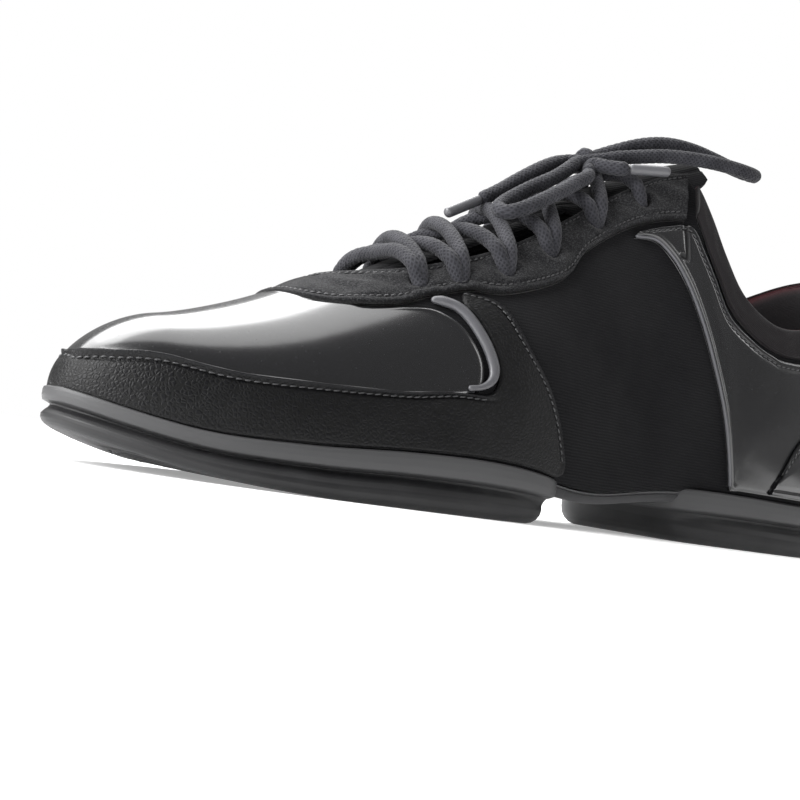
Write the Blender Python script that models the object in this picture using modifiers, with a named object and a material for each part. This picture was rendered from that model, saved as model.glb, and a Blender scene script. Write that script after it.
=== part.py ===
"""Left dance sneaker with a split sole, standing empty on its two rubber pads.

The shoe lies along X, toe at -X and heel at +X, lateral side at -Y, floor at Z = 0. Every piece is
worked out from one last: a surface given by short tables of sections along the foot.
"""
import math

import bmesh
import bpy
import numpy as np
from mathutils import Vector

# Driving dimensions, in metres
SOLE_LENGTH = 0.262
BALL_WIDTH = 0.082
INSTEP_HEIGHT = 0.100
COLLAR_HEIGHT = 0.094
SOLE_THICKNESS = 0.015
TOE_SPRING = 0.0075
ARCH_RISE = 0.007
LATERAL_DIP = 0.0045
TOE_INSET = 0.0025
HEEL_INSET = 0.003
HEEL_BULGE = 0.003
HEEL_LEAN = 0.007
CLEARANCE = 0.0003
LAYER_GAP = 0.0004

# Walls and layers
UPPER_WALL = 0.0016
LEATHER = 0.0012
PATENT = 0.0010
SUEDE = 0.0012
COLLAR_PAD = 0.0022
TONGUE_WALL = 0.0030
INSOLE_WALL = 0.0025
INSOLE_INSET = 0.0034
ARCH_WALL = 0.0030
RIM_PROUD = 0.0022
PIPING_RADIUS = 0.0012

# Pivot rings under the pads
FOREFOOT_PIVOT = (0.0665, 0.0135)
FOREFOOT_MOAT = 0.0164
HEEL_PIVOT_INSET = 0.0333
HEEL_PIVOT = (SOLE_LENGTH - HEEL_PIVOT_INSET, 0.0000)
HEEL_MOAT = 0.0150
MOAT_WIDTH = 0.0036
MOAT_DEPTH = 0.0014
DIMPLE_RADIUS = 0.0075
DIMPLE_DEPTH = 0.0008

# Lace
LACE_DIAMETER = 0.0040
AGLET_DIAMETER = 0.0034
AGLET_LENGTH = 0.0130
LACE_SAG = 0.0026
LACE_OVER = 0.0007
EYELET_SPREAD = 0.0030
KNOT_CENTRE = (0.1468, -0.0010, 0.1072)
KNOT_RADIUS = 0.0038

# Plan of the last at the feather line. station is a share of the last's length from the toe,
# lateral and medial are half widths as shares of BALL_WIDTH.
PLAN = np.array([
    # station, lateral, medial
    (0.00, 0.340, 0.330),
    (0.10, 0.375, 0.380),
    (0.20, 0.412, 0.455),
    (0.28, 0.440, 0.490),
    (0.36, 0.463, 0.455),
    (0.44, 0.462, 0.350),
    (0.52, 0.410, 0.265),
    (0.60, 0.368, 0.250),
    (0.70, 0.370, 0.320),
    (0.80, 0.390, 0.390),
    (0.90, 0.390, 0.400),
    (1.00, 0.390, 0.390),
])
# Cross sections. crest is a share of INSTEP_HEIGHT, shift the crest's way to the medial side as a
# share of BALL_WIDTH; low, bulge and shoulder shape the curve from the feather to the crest.
SECTIONS = np.array([
    # station, crest, shift, low, bulge, shoulder
    (0.00, 0.335, 0.02, 0.60, 1.00, 0.75),
    (0.10, 0.382, 0.03, 0.60, 1.00, 0.70),
    (0.16, 0.437, 0.04, 0.60, 1.00, 0.62),
    (0.27, 0.575, 0.05, 0.60, 1.00, 0.52),
    (0.36, 0.702, 0.05, 0.60, 1.00, 0.47),
    (0.48, 0.870, 0.04, 0.58, 1.04, 0.46),
    (0.60, 1.045, 0.03, 0.55, 1.08, 0.48),
    (0.70, 1.165, 0.01, 0.52, 1.10, 0.52),
    (0.80, 1.230, 0.00, 0.50, 1.10, 0.62),
    (0.90, 1.260, 0.00, 0.50, 1.08, 0.72),
    (1.00, 1.280, 0.00, 0.50, 1.06, 0.80),
])
# Sole under the feather: thick is a share of SOLE_THICKNESS, spring a share of TOE_SPRING.
SOLE = np.array([
    # station, thick, spring
    (0.00, 0.58, 1.00),
    (0.05, 0.58, 0.60),
    (0.10, 0.60, 0.28),
    (0.20, 0.74, 0.02),
    (0.30, 0.87, 0.00),
    (0.40, 0.95, 0.00),
    (0.50, 1.00, 0.00),
    (1.00, 1.00, 0.00),
])
TOE_REACH, TOE_POWER, TOE_DOME = 0.22, 1.85, 0.085
HEEL_REACH, HEEL_POWER = 0.135, 2.0


def spline(table, x, column):
    """Smooth curve through one column of a table, read at x."""
    knots, values = table[:, 0], table[:, column]
    slope = np.gradient(values, knots)
    x = np.clip(x, knots[0], knots[-1])
    i = np.clip(np.searchsorted(knots, x, side="right") - 1, 0, len(knots) - 2)
    h = knots[i + 1] - knots[i]
    s = (x - knots[i]) / h
    return ((2*s**3 - 3*s**2 + 1)*values[i] + (s**3 - 2*s**2 + s)*h*slope[i]
            + (3*s**2 - 2*s**3)*values[i + 1] + (s**3 - s**2)*h*slope[i + 1])


def step(start, end, x):
    """Smooth step from 0 at start to 1 at end."""
    q = np.clip((x - start) / (end - start), 0, 1)
    return q*q*(3 - 2*q)


def round_end(share, reach, power):
    """Round end of the plan: 0 at the tip, 1 from reach inwards."""
    q = np.clip(1 - share/reach, 0, 1)
    return (1 - q**power)**(1/power)


def half_width(station, side):
    """Half width of the last at the feather on one side."""
    width = np.where(side < 0, spline(PLAN, station, 1), spline(PLAN, station, 2)) * BALL_WIDTH
    return width * round_end(station, TOE_REACH, TOE_POWER) * round_end(1 - station, HEEL_REACH, HEEL_POWER)


def base_height(station, across):
    """Height of the feather; across runs from 0 at the lateral edge to 1 at the medial edge."""
    rise = ARCH_RISE * np.exp(-((station - 0.56)/0.10)**2) * step(0.1, 1, across)
    dip = LATERAL_DIP * np.exp(-((station - 0.54)/0.10)**2) * (1 - across)
    return SOLE_THICKNESS*spline(SOLE, station, 1) + TOE_SPRING*spline(SOLE, station, 2) + rise - dip


def plan_x(station):
    """Place along the shoe of a station."""
    return TOE_INSET + (SOLE_LENGTH - TOE_INSET - HEEL_INSET)*station


def last_point(station, q):
    """Point of the last. q runs across the shoe: -1 lateral feather, 0 crest, +1 medial feather.

    Each half section is one cubic curve: up from the feather, over the shoulder, level at the crest.
    """
    station, q = np.broadcast_arrays(np.asarray(station, float), np.asarray(q, float))
    side = np.where(q < 0, -1.0, 1.0)
    v = 1 - np.abs(q)
    base = base_height(station, (side + 1)/2)
    crest = base + (spline(SECTIONS, station, 1)*INSTEP_HEIGHT - base)*round_end(station, TOE_DOME, 2)
    ends = round_end(station, TOE_REACH, TOE_POWER) * round_end(1 - station, HEEL_REACH, HEEL_POWER)
    ridge = spline(SECTIONS, station, 2) * BALL_WIDTH * ends
    foot = side * half_width(station, side)
    low = base + spline(SECTIONS, station, 3)*(crest - base)
    shoulder = ridge + (foot - ridge)*spline(SECTIONS, station, 5)
    weights = ((1 - v)**3, 3*v*(1 - v)**2, 3*v*v*(1 - v), v**3)
    y = weights[0]*foot + weights[1]*foot*spline(SECTIONS, station, 4) + weights[2]*shoulder + weights[3]*ridge
    z = weights[0]*base + weights[1]*low + weights[2]*crest + weights[3]*crest
    up = np.clip((z - base)/COLLAR_HEIGHT, 0, 1.4)
    back = HEEL_BULGE*np.sin(np.pi*np.clip(1.35*up, 0, 1)) - HEEL_LEAN*up**2
    return np.stack([plan_x(station) + back*step(0.72, 1, station), y, z], -1)


def on_last(station, q, lift=0.0):
    """Point lifted off the last along its normal."""
    station, q, lift = np.broadcast_arrays(*(np.asarray(a, float) for a in (station, q, lift)))
    point = last_point(station, q)
    small = 0.0006
    along = last_point(station + small, q) - last_point(station - small, q)
    across = last_point(station, q + small) - last_point(station, q - small)
    normal = np.cross(along, across)
    normal /= np.linalg.norm(normal, axis=-1, keepdims=True) + 1e-12
    return point + normal*lift[..., None]


# Edges of the pieces on the last. v is the height share of a half section: 0 feather, 1 crest.
# Top edge of the upper: round the throat, then down and round the collar.
TOP_LINE = np.array([
    # station, v
    (0.2620, 1.000),
    (0.2655, 0.940),
    (0.2750, 0.870),
    (0.2920, 0.795),
    (0.3150, 0.735),
    (0.3450, 0.695),
    (0.3850, 0.672),
    (0.4300, 0.672),
    (0.4800, 0.700),
    (0.5500, 0.742),
    (0.6100, 0.775),
    (0.6600, 0.790),
    (0.6950, 0.780),
    (0.7030, 0.690),
    (0.7100, 0.600),
    (0.7180, 0.512),
    (0.7300, 0.444),
    (0.7460, 0.390),
    (0.7660, 0.352),
    (0.7900, 0.334),
    (0.8400, 0.334),
    (0.9000, 0.378),
    (0.9500, 0.435),
    (1.0000, 0.495),
])
# Ribbons: a row gives the two edges of the piece, low edge first, from its rear or front end on the
# lateral side to the middle of the toe or heel; the medial side follows the same rows.
TOE_GUARD = np.array([
    # station low, v low, station high, v high
    (0.3700, 0.500, 0.3640, 0.508),
    (0.4050, 0.429, 0.3640, 0.460),
    (0.4310, 0.282, 0.3820, 0.350),
    (0.4610, 0.162, 0.3905, 0.240),
    (0.4770, 0.081, 0.3880, 0.190),
    (0.4830, 0.015, 0.3740, 0.168),
    (0.4400, 0.012, 0.3300, 0.180),
    (0.3600, 0.012, 0.2800, 0.190),
    (0.2700, 0.012, 0.2100, 0.236),
    (0.1800, 0.012, 0.1360, 0.302),
    (0.1100, 0.012, 0.0790, 0.395),
    (0.0550, 0.012, 0.0430, 0.468),
    (0.0200, 0.012, 0.0170, 0.550),
    (0.0050, 0.012, 0.0090, 0.740),
    (0.0010, 1.000, 0.0068, 1.000),
])
EYESTAY = np.array([
    # station low, v low, station high, v high
    (0.6720, 0.600, 0.6950, 0.790),
    (0.6360, 0.615, 0.6600, 0.795),
    (0.5900, 0.612, 0.6100, 0.775),
    (0.5310, 0.572, 0.5500, 0.742),
    (0.4990, 0.508, 0.5200, 0.724),
    (0.4650, 0.483, 0.4800, 0.700),
    (0.4110, 0.478, 0.4300, 0.672),
    (0.3730, 0.518, 0.3850, 0.672),
    (0.3320, 0.535, 0.3450, 0.695),
    (0.2960, 0.540, 0.3150, 0.735),
    (0.2620, 0.590, 0.2920, 0.795),
    (0.2320, 0.660, 0.2750, 0.870),
    (0.2100, 0.800, 0.2655, 0.940),
    (0.2020, 1.000, 0.2620, 1.000),
])
QUARTER = np.array([
    # station low, v low, station high, v high
    (0.6000, 0.580, 0.6080, 0.592),
    (0.6270, 0.555, 0.6450, 0.590),
    (0.6480, 0.495, 0.6790, 0.578),
    (0.6640, 0.430, 0.6920, 0.505),
    (0.6800, 0.355, 0.7035, 0.440),
    (0.7020, 0.252, 0.7240, 0.352),
    (0.7270, 0.140, 0.7620, 0.300),
    (0.7450, 0.036, 0.7960, 0.276),
    (0.7490, 0.012, 0.8060, 0.272),
    (0.7640, 0.012, 0.8160, 0.271),
    (0.8000, 0.012, 0.8380, 0.272),
    (0.8500, 0.012, 0.8700, 0.284),
    (0.9000, 0.012, 0.9040, 0.312),
    (0.9500, 0.012, 0.9450, 0.352),
    (0.9850, 0.012, 0.9800, 0.388),
    (1.0000, 0.012, 1.0000, 0.410),
])
COLLAR = np.array([
    # station low, v low, station high, v high
    (0.6900, 0.610, 0.7010, 0.725),
    (0.6985, 0.512, 0.7095, 0.605),
    (0.7100, 0.440, 0.7220, 0.492),
    (0.7280, 0.362, 0.7460, 0.398),
    (0.7650, 0.306, 0.7900, 0.344),
    (0.8120, 0.281, 0.8360, 0.343),
    (0.8620, 0.291, 0.8800, 0.367),
    (0.9120, 0.326, 0.9200, 0.410),
    (0.9570, 0.371, 0.9600, 0.458),
    (0.9880, 0.407, 0.9880, 0.492),
    (1.0000, 0.421, 1.0000, 0.505),
])
HEEL_COUNTER = np.array([
    # station low, v low, station high, v high
    (0.8060, 0.015, 0.8200, 0.055),
    (0.8350, 0.015, 0.8400, 0.115),
    (0.8800, 0.015, 0.8800, 0.170),
    (0.9300, 0.015, 0.9300, 0.205),
    (0.9750, 0.015, 0.9750, 0.222),
    (0.9930, 0.015, 0.9930, 0.228),
    (1.0000, 0.015, 1.0000, 0.230),
])
# Rear edge of the patent toe: share runs from the crest, 0, to the stitch line, 1.
PATENT_REAR = np.array([
    # share, station
    (0.00, 0.1960),
    (0.27, 0.2030),
    (0.40, 0.2130),
    (0.45, 0.2240),
    (0.51, 0.2430),
    (0.57, 0.2680),
    (0.60, 0.3000),
    (0.63, 0.3250),
    (0.69, 0.3455),
    (0.81, 0.3660),
    (0.93, 0.3740),
    (0.98, 0.3700),
    (1.00, 0.3640),
])
# Middle line of the piping round the notch of the toe guard.
NOTCH = np.array([
    # station, v
    (0.3760, 0.198),
    (0.3830, 0.215),
    (0.3845, 0.245),
    (0.3745, 0.335),
    (0.3580, 0.440),
    (0.3420, 0.490),
    (0.3290, 0.512),
])
EYELETS = np.array([
    # station, v
    (0.3250, 0.610),
    (0.3680, 0.575),
    (0.4210, 0.565),
    (0.4810, 0.600),
    (0.5530, 0.665),
    (0.6230, 0.700),
])
# Outlines of the pads' rims on the plan of the last. q is the share of the half width, negative on
# the lateral side; flare is how far the tread stands out from the rim and roll the radius of its
# lower edge, both as shares of SOLE_THICKNESS.
FOREFOOT_PAD = np.array([
    # station, q, flare, roll
    (0.000, 0.00, 0.00, 0.16),
    (0.012, -1.00, 0.04, 0.18),
    (0.040, -1.00, 0.12, 0.20),
    (0.090, -1.00, 0.20, 0.20),
    (0.150, -1.00, 0.23, 0.20),
    (0.220, -1.00, 0.21, 0.20),
    (0.300, -1.00, 0.15, 0.20),
    (0.380, -1.00, 0.04, 0.20),
    (0.440, -1.00, -0.08, 0.22),
    (0.472, -0.97, -0.18, 0.26),
    (0.485, -0.80, -0.28, 0.28),
    (0.479, -0.52, -0.30, 0.26),
    (0.464, -0.25, -0.26, 0.24),
    (0.447, 0.04, -0.22, 0.24),
    (0.430, 0.32, -0.18, 0.24),
    (0.410, 0.60, -0.15, 0.24),
    (0.386, 0.85, -0.10, 0.22),
    (0.345, 0.985, -0.03, 0.18),
    (0.290, 1.00, 0.04, 0.16),
    (0.220, 1.00, 0.08, 0.18),
    (0.150, 1.00, 0.08, 0.18),
    (0.090, 1.00, 0.04, 0.18),
    (0.040, 1.00, 0.00, 0.16),
    (0.012, 1.00, 0.00, 0.16),
])
HEEL_PAD = np.array([
    # station, q, flare, roll
    (1.000, 0.00, 0.02, 0.30),
    (0.990, 1.00, 0.04, 0.28),
    (0.955, 1.00, 0.08, 0.24),
    (0.900, 1.00, 0.10, 0.22),
    (0.830, 1.00, 0.10, 0.22),
    (0.760, 1.00, 0.04, 0.24),
    (0.710, 0.99, -0.08, 0.28),
    (0.674, 0.88, -0.22, 0.34),
    (0.650, 0.56, -0.34, 0.40),
    (0.647, 0.10, -0.36, 0.42),
    (0.655, -0.35, -0.34, 0.40),
    (0.668, -0.75, -0.26, 0.36),
    (0.695, -0.98, -0.12, 0.30),
    (0.750, -1.00, 0.00, 0.25),
    (0.830, -1.00, 0.10, 0.22),
    (0.900, -1.00, 0.10, 0.22),
    (0.955, -1.00, 0.07, 0.24),
    (0.990, -1.00, 0.03, 0.28),
])


for old in list(bpy.data.objects):
    bpy.data.objects.remove(old, do_unlink=True)

sneaker = bpy.data.collections.new("dance_sneaker")
bpy.context.scene.collection.children.link(sneaker)


def material(name, colour, roughness, metallic=0.0):
    """Plain surface of one colour."""
    surface = bpy.data.materials.new(name)
    surface.use_nodes = True
    shader = surface.node_tree.nodes["Principled BSDF"]
    shader.inputs["Base Color"].default_value = (*colour, 1)
    shader.inputs["Roughness"].default_value = roughness
    shader.inputs["Metallic"].default_value = metallic
    return surface


TREAD_RUBBER = material("tread_rubber", (0.045, 0.045, 0.047), 0.70)
SMOOTH_RUBBER = material("smooth_rubber", (0.060, 0.060, 0.062), 0.50)
STRETCH_TEXTILE = material("stretch_textile", (0.012, 0.012, 0.013), 0.90)
GRAINED_LEATHER = material("grained_leather", (0.018, 0.018, 0.019), 0.42)
PATENT_LEATHER = material("patent_leather", (0.010, 0.010, 0.011), 0.06)
SUEDE_LEATHER = material("suede_leather", (0.035, 0.035, 0.037), 0.95)
PIPING_FINISH = material("piping_finish", (0.090, 0.090, 0.098), 0.25)
COLLAR_TEXTILE = material("collar_textile", (0.020, 0.017, 0.018), 0.90)
FOOTBED_TEXTILE = material("footbed_textile", (0.025, 0.025, 0.027), 0.95)
LACE_BRAID = material("lace_braid", (0.030, 0.030, 0.034), 0.80)
AGLET_PLASTIC = material("aglet_plastic", (0.200, 0.200, 0.210), 0.35)


def add_object(name, mesh, surface):
    """New object of the sneaker with its material, shaded smooth up to a fold angle."""
    mesh.materials.clear()
    mesh.materials.append(surface)
    mesh.shade_smooth()
    mesh.set_sharp_from_angle(angle=math.radians(40))
    piece = bpy.data.objects.new(name, mesh)
    sneaker.objects.link(piece)
    return piece


def mesh_from(name, points, faces, weld=1e-5):
    """Mesh from points and faces, doubles merged, so that coincident edges join."""
    mesh = bpy.data.meshes.new(name)
    mesh.from_pydata([tuple(p) for p in points], [], faces)
    shape = bmesh.new()
    shape.from_mesh(mesh)
    bmesh.ops.remove_doubles(shape, verts=shape.verts, dist=weld)
    bmesh.ops.dissolve_degenerate(shape, edges=shape.edges, dist=weld)
    shape.to_mesh(mesh)
    shape.free()
    return mesh


def grid_faces(rows, columns, start=0, around=False):
    """Quads of a grid of rows by columns, joined round the columns if around."""
    faces = []
    for i in range(rows - 1):
        for j in range(columns if around else columns - 1):
            k = (j + 1) % columns
            corner = start + i*columns
            faces.append((corner + j, corner + k, corner + columns + k, corner + columns + j))
    return faces


def shell(name, mesh, surface, wall, outward=True):
    """Give an open surface its wall, outwards or inwards from the modelled side."""
    piece = add_object(name, mesh, surface)
    solid = piece.modifiers.new("wall", "SOLIDIFY")
    solid.thickness = wall
    solid.offset = 1 if outward else -1
    solid.use_even_offset = False
    return piece


def ribbon(name, rows, along, across, lift, wall, surface, outward=True):
    """Strip of the last between two edges, from the lateral end over the toe or heel to the medial end.

    along counts the steps of one half, across the steps from the low edge to the high edge.
    """
    table = np.column_stack([np.arange(len(rows)), rows])
    fine = np.linspace(0, len(rows) - 1, 30*len(rows))
    columns = [spline(table, fine, c + 1) for c in range(rows.shape[1])]
    edges = [last_point(columns[c], columns[c + 1] - 1) for c in (0, 2)]
    longest = np.max([np.linalg.norm(np.diff(edge, axis=0), axis=1) for edge in edges], axis=0)
    length = np.concatenate([[0], np.cumsum(longest)])
    place = np.interp(np.linspace(0, length[-1], along + 1), length, fine)
    columns = [spline(table, place, c + 1) for c in range(rows.shape[1])]
    share = np.linspace(0, 1, across + 1)[None, :]
    low, v_low, high, v_high = (c[:, None] for c in columns)
    station = low + (high - low)*share
    v = np.clip(v_low + (v_high - v_low)*share, 0, 1)
    lateral = on_last(station, v - 1, lift)
    medial = on_last(station, 1 - v, lift)[::-1]
    middle = 0.5*(lateral[-1] + medial[0])
    grid = np.concatenate([lateral[:-1], middle[None], medial[1:]])
    faces = grid_faces(len(grid), across + 1)
    if rows[-1, 0] > 0.5:
        faces = [face[::-1] for face in faces]
    mesh = mesh_from(name, grid.reshape(-1, 3), faces)
    return shell(name, mesh, surface, wall, outward)


def make_upper():
    """Stretch textile shell: half sections from the feather to the top line, joined along the crest
    in front of the throat, at the tip of the toe and at the back of the heel."""
    even = (1 - np.cos(np.linspace(0, np.pi, 25)))/2
    front = TOP_LINE[:5, 0]
    collar_front = TOP_LINE[12:18, 0]
    stations = np.unique(np.concatenate([even, front, collar_front]))
    keep = np.concatenate([[True], np.diff(stations) > 0.004])
    keep |= np.isin(stations, [*front, *collar_front, 1.0])
    stations = stations[keep]
    top = np.where(stations <= TOP_LINE[0, 0], 1.0, spline(TOP_LINE, stations, 1))
    v = np.linspace(0, 1, 9)[None, :]**0.9 * top[:, None]
    columns = v.shape[1]
    lateral = on_last(stations[:, None], v - 1)
    medial = on_last(stations[:, None], 1 - v)
    for grid in (lateral, medial):
        grid[-1, :, 1] = 0
    faces = [face[::-1] for face in grid_faces(len(stations), columns)]
    faces += grid_faces(len(stations), columns, start=lateral.shape[0]*columns)
    points = np.concatenate([lateral.reshape(-1, 3), medial.reshape(-1, 3)])
    return shell("upper", mesh_from("upper", points, faces), STRETCH_TEXTILE, UPPER_WALL, outward=False)


def make_toe_patent():
    """Patent panel from the tip of the toe to the eyestay, between the two stitch lines."""
    share = np.linspace(-1, 1, 21)
    rear = spline(PATENT_REAR, np.abs(share), 1)
    steps = np.linspace(0, 1, 11)[:, None]**1.4
    tip = TOE_GUARD[-1, 2] + 0.0012
    station = tip + (rear[None, :] - tip)*steps
    stitch = TOE_GUARD[6:, 2:4][::-1]
    edge = np.interp(station, stitch[:, 0], stitch[:, 1]) + 0.012
    q = share[None, :]*(1 - np.minimum(edge, 0.999))
    grid = on_last(station, q, LAYER_GAP)
    mesh = mesh_from("toe_patent", grid.reshape(-1, 3), [f[::-1] for f in grid_faces(*grid.shape[:2])])
    return shell("toe_patent", mesh, PATENT_LEATHER, PATENT)


def make_tongue():
    """Tongue inside the throat, from under the vamp to above the last eyelets."""
    station = np.linspace(0.235, 0.735, 15)[:, None]
    opening = np.interp(station, TOP_LINE[:, 0], 1 - TOP_LINE[:, 1])
    reach = np.where(station < 0.69, np.minimum(opening + 0.07, 0.36), 0.27)
    reach = reach*np.sqrt(np.clip(1 - ((station - 0.64)/0.115)**4, 0.25, 1))*step(0.15, 0.27, station)
    q = np.linspace(-1, 1, 9)[None, :]*reach
    grid = on_last(station, q, -(UPPER_WALL + 2*CLEARANCE))
    mesh = mesh_from("tongue", grid.reshape(-1, 3), [f[::-1] for f in grid_faces(*grid.shape[:2])])
    return shell("tongue", mesh, STRETCH_TEXTILE, TONGUE_WALL, outward=False)


def inner_half_width(station, side, inset):
    """Half width at the feather less an inset, which holds round the ends too."""
    shift = inset / (SOLE_LENGTH - TOE_INSET - HEEL_INSET)
    towards_ends = np.where(station < 0.5, station - shift, station + shift)
    return half_width(np.clip(towards_ends, 0, 1), side) - inset


def plate(name, station, across, inset, lift, wall, surface):
    """Thin plate under the foot, between the feather lines, with its own wall upwards."""
    lateral = -inner_half_width(station, -1.0, inset)
    medial = inner_half_width(station, 1.0, inset)
    y = lateral + (medial - lateral)*across
    z = base_height(station, across) + lift
    grid = np.stack([plan_x(station) + 0*y, y, z], -1)
    mesh = mesh_from(name, grid.reshape(-1, 3), [f[::-1] for f in grid_faces(*grid.shape[:2])])
    return shell(name, mesh, surface, wall)


def make_insole():
    """Footbed on the pads and the arch, inside the upper."""
    station = (0.5 - 0.484*np.cos(np.linspace(0, np.pi, 21)))[:, None]
    across = np.linspace(0, 1, 6)[None, :]
    return plate("insole", station, across, INSOLE_INSET, 2*CLEARANCE, INSOLE_WALL, FOOTBED_TEXTILE)


def closed_curve(rows, count):
    """Points of a closed smooth curve through rows of values, spread evenly along its length."""
    wrapped = np.concatenate([rows[-3:], rows, rows[:3]])
    table = np.column_stack([np.arange(-3, len(rows) + 3), wrapped])
    fine = np.linspace(0, len(rows), 40*len(rows) + 1)
    values = np.stack([spline(table, fine, c + 1) for c in range(rows.shape[1])], -1)
    length = np.concatenate([[0], np.cumsum(np.linalg.norm(np.diff(values[:, :2], axis=0), axis=1))])
    place = np.linspace(0, length[-1], count + 1)[:-1]
    return np.stack([np.interp(place, length, values[:, c]) for c in range(values.shape[1])], -1)


def pad_rim(rows, count):
    """Rim of a pad on the plan: x, y, flare, roll and the outward direction."""
    station, q = rows[:, 0], rows[:, 1]
    side = np.where(q < 0, -1.0, 1.0)
    corners = np.column_stack([plan_x(station), q*half_width(station, side), rows[:, 2:]*SOLE_THICKNESS])
    curve = closed_curve(corners, count)
    tangent = np.roll(curve[:, :2], -1, axis=0) - np.roll(curve[:, :2], 1, axis=0)
    tangent /= np.linalg.norm(tangent, axis=1, keepdims=True)
    outward = np.stack([tangent[:, 1], -tangent[:, 0]], -1)
    middle = curve[:, :2].mean(axis=0)
    if np.sum(outward*(curve[:, :2] - middle)) < 0:
        outward = -outward
    return curve[:, :2] + RIM_PROUD*outward, curve[:, 2], curve[:, 3], outward


def station_of(x):
    """Station of a place along the shoe."""
    return np.clip((x - TOE_INSET)/(SOLE_LENGTH - TOE_INSET - HEEL_INSET), 0, 1)


def pad_heights(x, y):
    """Underside and top of the sole at places of the plan."""
    station = station_of(x)
    lateral, medial = half_width(station, -1.0), half_width(station, 1.0)
    across = np.clip((y + lateral)/np.maximum(lateral + medial, 0.004), 0, 1)
    return TOE_SPRING*spline(SOLE, station, 2), base_height(station, across) - 2*CLEARANCE


def make_pad(name, rows, count, pivot, moat):
    """Rubber pad as one loft of rings: pivot rings, tread, rolled edge, hollow wall, rim and top."""
    rim, flare, roll, outward = pad_rim(rows, count)
    tread = rim + flare[:, None]*outward
    centre = np.array(pivot)
    angle = np.arctan2(tread[:, 1] - centre[1], tread[:, 0] - centre[0])
    spoke = np.stack([np.cos(angle), np.sin(angle)], -1)
    circles = (
        # radius, depth below the tread
        (DIMPLE_RADIUS*0.6, DIMPLE_DEPTH),
        (DIMPLE_RADIUS, 0.0),
        (moat - MOAT_WIDTH, 0.0),
        (moat - 0.75*MOAT_WIDTH, MOAT_DEPTH),
        (moat - 0.25*MOAT_WIDTH, MOAT_DEPTH),
        (moat, 0.0),
    )
    rings = [centre + radius*spoke for radius, depth in circles]
    levels = [np.full(count, depth) for radius, depth in circles]
    under = pad_heights(*centre)[0]
    walls = (
        # inset as a share of the roll, mix from tread to rim, inset as a share of RIM_PROUD, height share
        (1.00, 0.0, 0.0, 0.00),
        (0.30, 0.0, 0.0, 0.10),
        (0.00, 0.0, 0.0, 0.30),
        (0.00, 0.6, 0.7, 0.50),
        (0.00, 1.0, 0.9, 0.62),
        (0.00, 1.0, 0.0, 0.68),
        (0.00, 1.0, 0.0, 0.97),
        (0.00, 1.0, 0.35, 1.00),
    )
    points = [np.column_stack([ring, under + level]) for ring, level in zip(rings, levels)]
    for rolled, mix, inset, height in walls:
        edge = tread + (rim - tread)*mix - outward*(rolled*roll[:, None] + inset*RIM_PROUD)
        low, high = pad_heights(edge[:, 0], edge[:, 1])
        points.append(np.column_stack([edge, low + (high - low)*height]))
    for share in (0.7, 0.35):
        inner = centre + (edge - centre)*share
        points.append(np.column_stack([inner, pad_heights(inner[:, 0], inner[:, 1])[1]]))
    cloud = np.concatenate(points + [[(*centre, under + DIMPLE_DEPTH)], [(*centre, pad_heights(*centre)[1])]])
    faces = grid_faces(len(points), count, around=True)
    bottom, top = len(cloud) - 2, len(cloud) - 1
    last = (len(points) - 1)*count
    faces += [(bottom, (j + 1) % count, j) for j in range(count)]
    faces += [(top, last + j, last + (j + 1) % count) for j in range(count)]
    mesh = mesh_from(name, cloud, faces)
    shape = bmesh.new()
    shape.from_mesh(mesh)
    bmesh.ops.recalc_face_normals(shape, faces=shape.faces)
    shape.to_mesh(mesh)
    shape.free()
    return add_object(name, mesh, TREAD_RUBBER)


def make_arch():
    """Thin bridge between the pads, its ends following their rims."""
    across = np.linspace(0, 1, 13)
    front, back = np.full(13, 0.44), np.full(13, 0.67)
    ends = []
    for rows, station, direction in ((FOREFOOT_PAD, front, 1), (HEEL_PAD, back, -1)):
        rim, _, _, outward = pad_rim(rows, 240)
        facing = rim[outward[:, 0]*direction > 0.25]
        facing = facing[np.argsort(facing[:, 1])]
        for _ in range(8):
            lateral, medial = half_width(station, -1.0), half_width(station, 1.0)
            y = -lateral + (lateral + medial)*across
            x = np.interp(y, facing[:, 1], facing[:, 0])
            station = station_of(x + direction*5*CLEARANCE)
        ends.append(station)
    station = ends[0] + (ends[1] - ends[0])*np.linspace(0, 1, 9)[:, None]
    return plate("arch_bridge", station, across[None, :], CLEARANCE, -ARCH_WALL - 2*CLEARANCE, ARCH_WALL, SMOOTH_RUBBER)


def tube(name, points, radius, surface, resolution=2):
    """Round cord through the given points."""
    curve = bpy.data.curves.new(name, "CURVE")
    curve.dimensions = "3D"
    curve.bevel_depth = radius
    curve.bevel_resolution = resolution
    curve.use_fill_caps = True
    path = curve.splines.new("POLY")
    path.points.add(len(points) - 1)
    for knot, point in zip(path.points, points):
        knot.co = (*point, 1)
    path.use_smooth = True
    curve.materials.append(surface)
    piece = bpy.data.objects.new(name, curve)
    sneaker.objects.link(piece)
    return piece


def as_mesh(piece):
    """Turn a cord into a welded mesh, so that it can be joined with others."""
    depsgraph = bpy.context.evaluated_depsgraph_get()
    mesh = bpy.data.meshes.new_from_object(piece.evaluated_get(depsgraph))
    shape = bmesh.new()
    shape.from_mesh(mesh)
    bmesh.ops.remove_doubles(shape, verts=shape.verts, dist=1e-6)
    shape.to_mesh(mesh)
    shape.free()
    name, surface = piece.name, mesh.materials[0]
    bpy.data.objects.remove(piece, do_unlink=True)
    return add_object(name, mesh, surface)


def join(main, others):
    """Union of one piece with others; the others are used up."""
    for other in others:
        union = main.modifiers.new("join", "BOOLEAN")
        union.operation = "UNION"
        union.object = other
        depsgraph = bpy.context.evaluated_depsgraph_get()
        mesh = bpy.data.meshes.new_from_object(main.evaluated_get(depsgraph))
        main.modifiers.clear()
        main.data = mesh
        bpy.data.objects.remove(other, do_unlink=True)
    return main


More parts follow.
